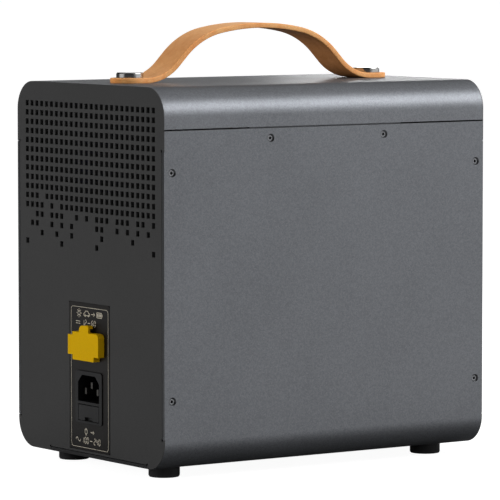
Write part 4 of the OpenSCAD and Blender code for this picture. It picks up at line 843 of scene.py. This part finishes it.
def paint_metals():
    """Bare and plated metals."""
    paint(brushed("zinc_sheet", rgb(186, 188, 192), 0.38, (1, 0.05, 1)), "chassis")
    paint(brushed("plain_aluminium", rgb(200, 202, 206), 0.34, (0.05, 1, 1)),
          "lower_deck", "upper_deck", "end_plates")
    paint(brushed("extruded_aluminium", rgb(206, 208, 212), 0.3, (1, 0.03, 1)), "heat_sinks")
    paint(brushed("strip_steel", rgb(186, 186, 190), 0.3, (0.05, 0.05, 1)), "battery_bands")
    paint(brushed("plated_screws", rgb(190, 190, 194), 0.3, (1, 1, 1)),
          "foot_screws", "handle_nuts", "cap_hinge_pin")
    paint(brushed("black_nickel", rgb(190, 189, 187), 0.12, (0.3, 0.3, 1), 0.05), "handle_rivets")
    paint(brushed("inlet_pins", rgb(84, 82, 79), 0.4, (1, 0.1, 1), 0.05), "mains_pins")
    paint(brushed("bare_copper", rgb(214, 142, 104), 0.3, (1, 0.05, 1)), "busbars")
    paint(brushed("spring_brass", rgb(214, 184, 120), 0.28, (1, 0.1, 1)),
          "car_socket_contact", "outlet_contacts")
    paint(brushed("nickel_plate", rgb(206, 200, 186), 0.22, (1, 0.1, 1), 0.05),
          "usb_a_ports", "usb_c_ports")
    paint(brushed("gold_flash", rgb(220, 186, 112), 0.22, (1, 0.1, 1), 0.05), "solar_contacts")


def paint_mouldings():
    """Rubber, printed film and moulded plastics."""
    paint(grained("foot_rubber", rgb(46, 46, 47), 0.62, specular=0.35, grain=1800, bump=0.03), "feet")
    paint(grained("plate_film", rgb(21, 19, 18), 0.5, specular=0.25, grain=2400, contrast=0.1,
                  bump=0.012), "label_plate")
    paint(grained("moulded_black", rgb(18, 18, 19), 0.42, specular=0.25, grain=2200, bump=0.012),
          "mains_inlet", "dc_jacks", "left_outlet", "right_outlet")
    paint(grained("fan_black", rgb(36, 36, 38), 0.5, grain=2200, bump=0.012),
          "exhaust_fan_frame", "small_fan_frame", "car_socket")
    paint(grained("fan_blades", rgb(46, 46, 49), 0.45, grain=2200, bump=0.008),
          "exhaust_fan_rotor", "small_fan_rotor")
    paint(grained("moulded_black_drawer", rgb(25, 25, 26), 0.46, specular=0.3, grain=2200,
                  bump=0.012), "fuse_drawer", "car_socket_cap")
    paint(grained("yellow_rubber", rgb(230, 181, 0), 0.5, specular=0.1, grain=1700, contrast=0.04,
                  mottle=0.03, bump=0.02), "dust_cap")
    paint(grained("yellow_nylon", rgb(190, 150, 30), 0.45, grain=1500, bump=0.02), "solar_inlet")
    paint(glazed("fuse_glass", rgb(212, 216, 216), 0.08, Transmission_Weight=0.5), "fuse")


def paint_front():
    """Display, lamp and buttons."""
    paint(glazed("display_glass", rgb(11, 13, 15), 0.06, Coat_Weight=0.6), "display_lens")
    paint(grained("display_body", rgb(88, 98, 102), 0.6, grain=1500, bump=0.02), "display_module")
    paint(glazed("lamp_opal", rgb(238, 238, 232), 0.3, Subsurface_Weight=0.4), "lamp_lens")
    paint(grained("white_mask", rgb(236, 236, 230), 0.5, grain=1500, contrast=0.04, bump=0.01),
          "lamp_board")
    paint(glazed("yellow_button", rgb(205, 160, 6), 0.28), "power_button")
    paint(grained("button_grey", rgb(80, 82, 85), 0.45, grain=2000, bump=0.01),
          "lamp_button", "usb_button", "dc_button", "mains_button")


def paint_inside():
    """Boards, cells, windings and leads."""
    copper = rgb(196, 176, 120)
    paint(circuit_board("solder_mask_green", rgb(16, 92, 50), copper),
          "battery_board", "charger_board", "inverter_board", "front_board")
    paint(circuit_board("solder_mask_driver", rgb(24, 104, 58), copper), "driver_board")
    paint(grained("cell_film", rgb(40, 78, 140), 0.34, grain=300, contrast=0.06, bump=0.05),
          "battery_cells")
    paint(grained("fibre_sheet", rgb(214, 212, 202), 0.85, grain=900, contrast=0.08, bump=0.05,
                  stretch=(1, 1, 4)), "cell_spacers")
    paint(grained("capacitor_sleeve", rgb(44, 84, 214), 0.3, grain=600, contrast=0.06, bump=0.01),
          "filter_capacitors")
    paint(grained("winding_tape", rgb(206, 178, 84), 0.4, grain=500, contrast=0.1, bump=0.04,
                  stretch=(0.2, 0.2, 3)), "charger_transformer")
    paint(grained("winding_copper", rgb(176, 104, 54), 0.35, metallic=0.4, grain=700,
                  contrast=0.18, bump=0.08, stretch=(0.1, 0.1, 2)), "inverter_transformer")
    paint(grained("lead_red", rgb(170, 26, 22), 0.45, grain=1200, bump=0.02), "battery_leads")
    paint(grained("lead_black", rgb(34, 34, 36), 0.5, grain=1200, bump=0.02), "inlet_leads")


# Radius of the rounded edges, in millimetres, where a node's edges aren't sharp
EDGES = {
    "side_wrap": 0.2, "top_cover": 0.2, "rear_panel": 0.15, "front_panel": 0.15, "feet": 0.25,
    "handle_rivets": 0.4, "label_plate": 0.15, "mains_inlet": 0.3, "fuse_drawer": 0.3,
    "dust_cap": 0.7, "foot_screws": 0.2, "display_lens": 0.3,
    "lamp_lens": 0.4, "power_button": 0.5, "lamp_button": 0.5, "usb_button": 0.5,
    "dc_button": 0.5, "mains_button": 0.5, "left_outlet": 0.3, "right_outlet": 0.3,
    "car_socket": 0.25, "car_socket_cap": 0.4, "battery_cells": 0.8, "filter_capacitors": 1.0,
}


def soften_edges(node, radius):
    """Rounds a node's edges with modifiers and leaves its own mesh as it is."""
    piece = NODES[node]
    weld = piece.modifiers.new("weld", "WELD")
    weld.merge_threshold = 0.002 * MM
    flat = piece.modifiers.new("flat_faces", "DECIMATE")
    flat.decimate_type = "DISSOLVE"
    flat.angle_limit = radians(1)
    bevel = piece.modifiers.new("edges", "BEVEL")
    bevel.width = radius * MM
    bevel.segments = 3
    bevel.limit_method = "ANGLE"
    bevel.angle_limit = radians(40)
    bevel.use_clamp_overlap = True
    shading = piece.modifiers.new("shading", "WEIGHTED_NORMAL")
    shading.weight = 100


def dress():
    paint_case()
    paint_metals()
    paint_mouldings()
    paint_front()
    paint_inside()
    for name, radius in EDGES.items():
        soften_edges(name, radius)


# ---- studio ----

def light(name, place, aim, size, power, colour=(1, 1, 1), glossy=True):
    """A lamp that the camera doesn't see. With glossy off, shiny surfaces don't show it either."""
    lamp = bpy.data.lights.new(name, "AREA")
    lamp.shape = "RECTANGLE"
    lamp.size, lamp.size_y = size
    lamp.energy = power
    lamp.color = colour
    holder = bpy.data.objects.new(name, lamp)
    holder.location = place
    holder.rotation_euler = (Vector(aim) - Vector(place)).to_track_quat("-Z", "Y").to_euler()
    holder.visible_camera = False
    holder.visible_glossy = glossy
    bpy.context.scene.collection.objects.link(holder)


def facing(t, turn, windows, inside, outside):
    """One level inside the given windows of azimuth and another outside them.

    Each window is its (middle, half width) in degrees, with soft ends.
    """
    soft = 8
    level = outside
    pick = "MAXIMUM" if inside > outside else "MINIMUM"
    for middle, half_width in windows:
        off = t.math("ABSOLUTE", t.math("SUBTRACT", turn, radians(middle)), 0)
        window = t.spread(off, radians(half_width - soft), radians(half_width + soft), inside, outside)
        level = t.math(pick, window, level)
    return level


def world():
    """White round the horizon, and a dimmer room above it and behind the camera."""
    made = bpy.data.worlds.new("studio")
    bpy.context.scene.world = made
    t = WorldTree(made)
    ramp = t.nodes.new("ShaderNodeValToRGB")
    t.links.new(t.axis("Z"), ramp.inputs["Fac"])
    stops = ((0.0, 1.0), (0.08, 1.0), (0.20, 0.08), (0.55, 0.08), (0.8, 0.45), (1.0, 0.7))
    elements = ramp.color_ramp.elements
    while len(elements) < len(stops):
        elements.new(0.5)
    for element, (position, level) in zip(elements, stops):
        element.position = position
        element.color = (level, level, level, 1)
    t.links.new(ramp.outputs["Color"], t.shader.inputs["Color"])
    turn = t.math("ARCTAN2", t.axis("Y"), t.axis("X"))
    behind_camera, behind_rear = (147, 48), (28, 24)
    dim_room = facing(t, turn, (behind_camera, behind_rear), 0.06, 1.0)
    t.links.new(dim_room, t.shader.inputs["Strength"])


def lit_sides(t, distance):
    """The far floor's level, which polished metal shows: 1 on two sides and dim elsewhere."""
    near, far = 0.5, 1.0
    key_side, rear_side = (-118, 42), (72, 22)
    turn = t.math("ARCTAN2", t.axis("Y"), t.axis("X"))
    lit = facing(t, turn, (key_side, rear_side), 1.0, 0.06)
    return t.math("MAXIMUM", lit, t.spread(distance, near, far, 1.0, 0.0))


def floor():
    """A wide pale floor. It is white to the camera, to mirrors and to glass, and keeps its shadows.
    What mirrors and glass see also has a painted shadow round the case.
    """
    reach = 60.0
    shadow_ring_from, shadow_ring_to = 0.015, 0.09
    camera_level, mirror_level = 0.95, 0.74
    t = Tree("studio_floor")
    t.set(Roughness=0.9, Specular_IOR_Level=0.0, Emission_Color=(1, 1, 1, 1))
    path = t.nodes.new("ShaderNodeLightPath")
    camera_ray = path.outputs["Is Camera Ray"]
    mirrored = t.math("MAXIMUM", path.outputs["Is Glossy Ray"], path.outputs["Is Transmission Ray"])
    t.to("Base Color", t.mix(camera_ray, (0.1, 0.1, 0.1, 1), (0.3, 0.3, 0.3, 1)))
    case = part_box("side_wrap")
    outside = [t.math("SUBTRACT", t.math("ABSOLUTE", t.axis(letter), 0), half)
               for letter, half in (("X", case[1].x), ("Y", case[1].y))]
    distance = t.math("MAXIMUM", *outside)
    # Painted shadow: the glow that mirrors and glass see fades to nothing within 15 to 90 mm of the
    # case.
    past_case = t.spread(distance, shadow_ring_from, shadow_ring_to, 0.0, 1.0)
    clear = t.math("MULTIPLY", past_case, lit_sides(t, distance))
    to_camera = t.math("MULTIPLY", camera_ray, camera_level)
    to_mirrors = t.math("MULTIPLY", mirrored, t.math("MULTIPLY", clear, mirror_level))
    t.to("Emission Strength", t.math("ADD", to_camera, to_mirrors))
    corners = [(-reach, -reach, 0), (reach, -reach, 0), (reach, reach, 0), (-reach, reach, 0)]
    piece = mesh_piece("studio_floor", corners, [(0, 1, 2, 3)], [t.material], smooth=False)


def lights():
    """Each lamp's place and aim in metres, its size, its power in watts and its colour."""
    light("key", (-1.05, -1.05, 1.08), (0, 0, 0.18), (1.7, 0.8), 25.8, (0.97, 0.985, 1.0))
    light("rear_fill", (1.2, 2.0, 0.5), (0, 0.1, 0.12), (1.6, 1.0), 32, glossy=False)
    light("side_fill", (-2.1, 0.65, 0.55), (0, 0, 0.1), (1.0, 0.8), 5.5, glossy=False)
    light("overhead", (-0.1, -0.2, 1.7), (0, 0, 0.25), (0.9, 0.9), 9, glossy=False)
    light("rim", (0.82, -0.96, 0.39), (0, -0.02, 0.25), (0.6, 0.2), 1.8)


def camera():
    """Long lens at the rear left, slightly above the case."""
    focal_px, frame_px = 3966.8, 500
    place = (-2.1383, 1.4811, 0.3378)
    right = Vector((-0.5693, -0.8222, -0.0004))
    up = Vector((0.0634, -0.0444, 0.9970))
    back = Vector((-0.8197, 0.5675, 0.0774))
    data = bpy.data.cameras.new("camera")
    data.sensor_width = 36
    data.lens = data.sensor_width * focal_px / frame_px
    data.clip_start, data.clip_end = 0.1, 200
    holder = bpy.data.objects.new("camera", data)
    turn = Matrix((right, up, back)).transposed().to_4x4()
    holder.matrix_world = Matrix.Translation(place) @ turn
    bpy.context.scene.collection.objects.link(holder)
    bpy.context.scene.camera = holder


def main():
    bpy.context.scene.view_settings.view_transform = "Standard"
    dress()
    screw_heads()
    strap()
    rear_marks()
    button_mark("power_button", power_symbol)
    button_mark("lamp_button", lamp_symbol)
    button_mark("usb_button", data_symbol)
    button_mark("dc_button", lambda m: direct_current(m, 0, 0, 6))
    button_mark("mains_button", lambda m: alternating_current(m, 0, 0, 6))
    display_marks()
    world()
    floor()
    lights()
    camera()


main()
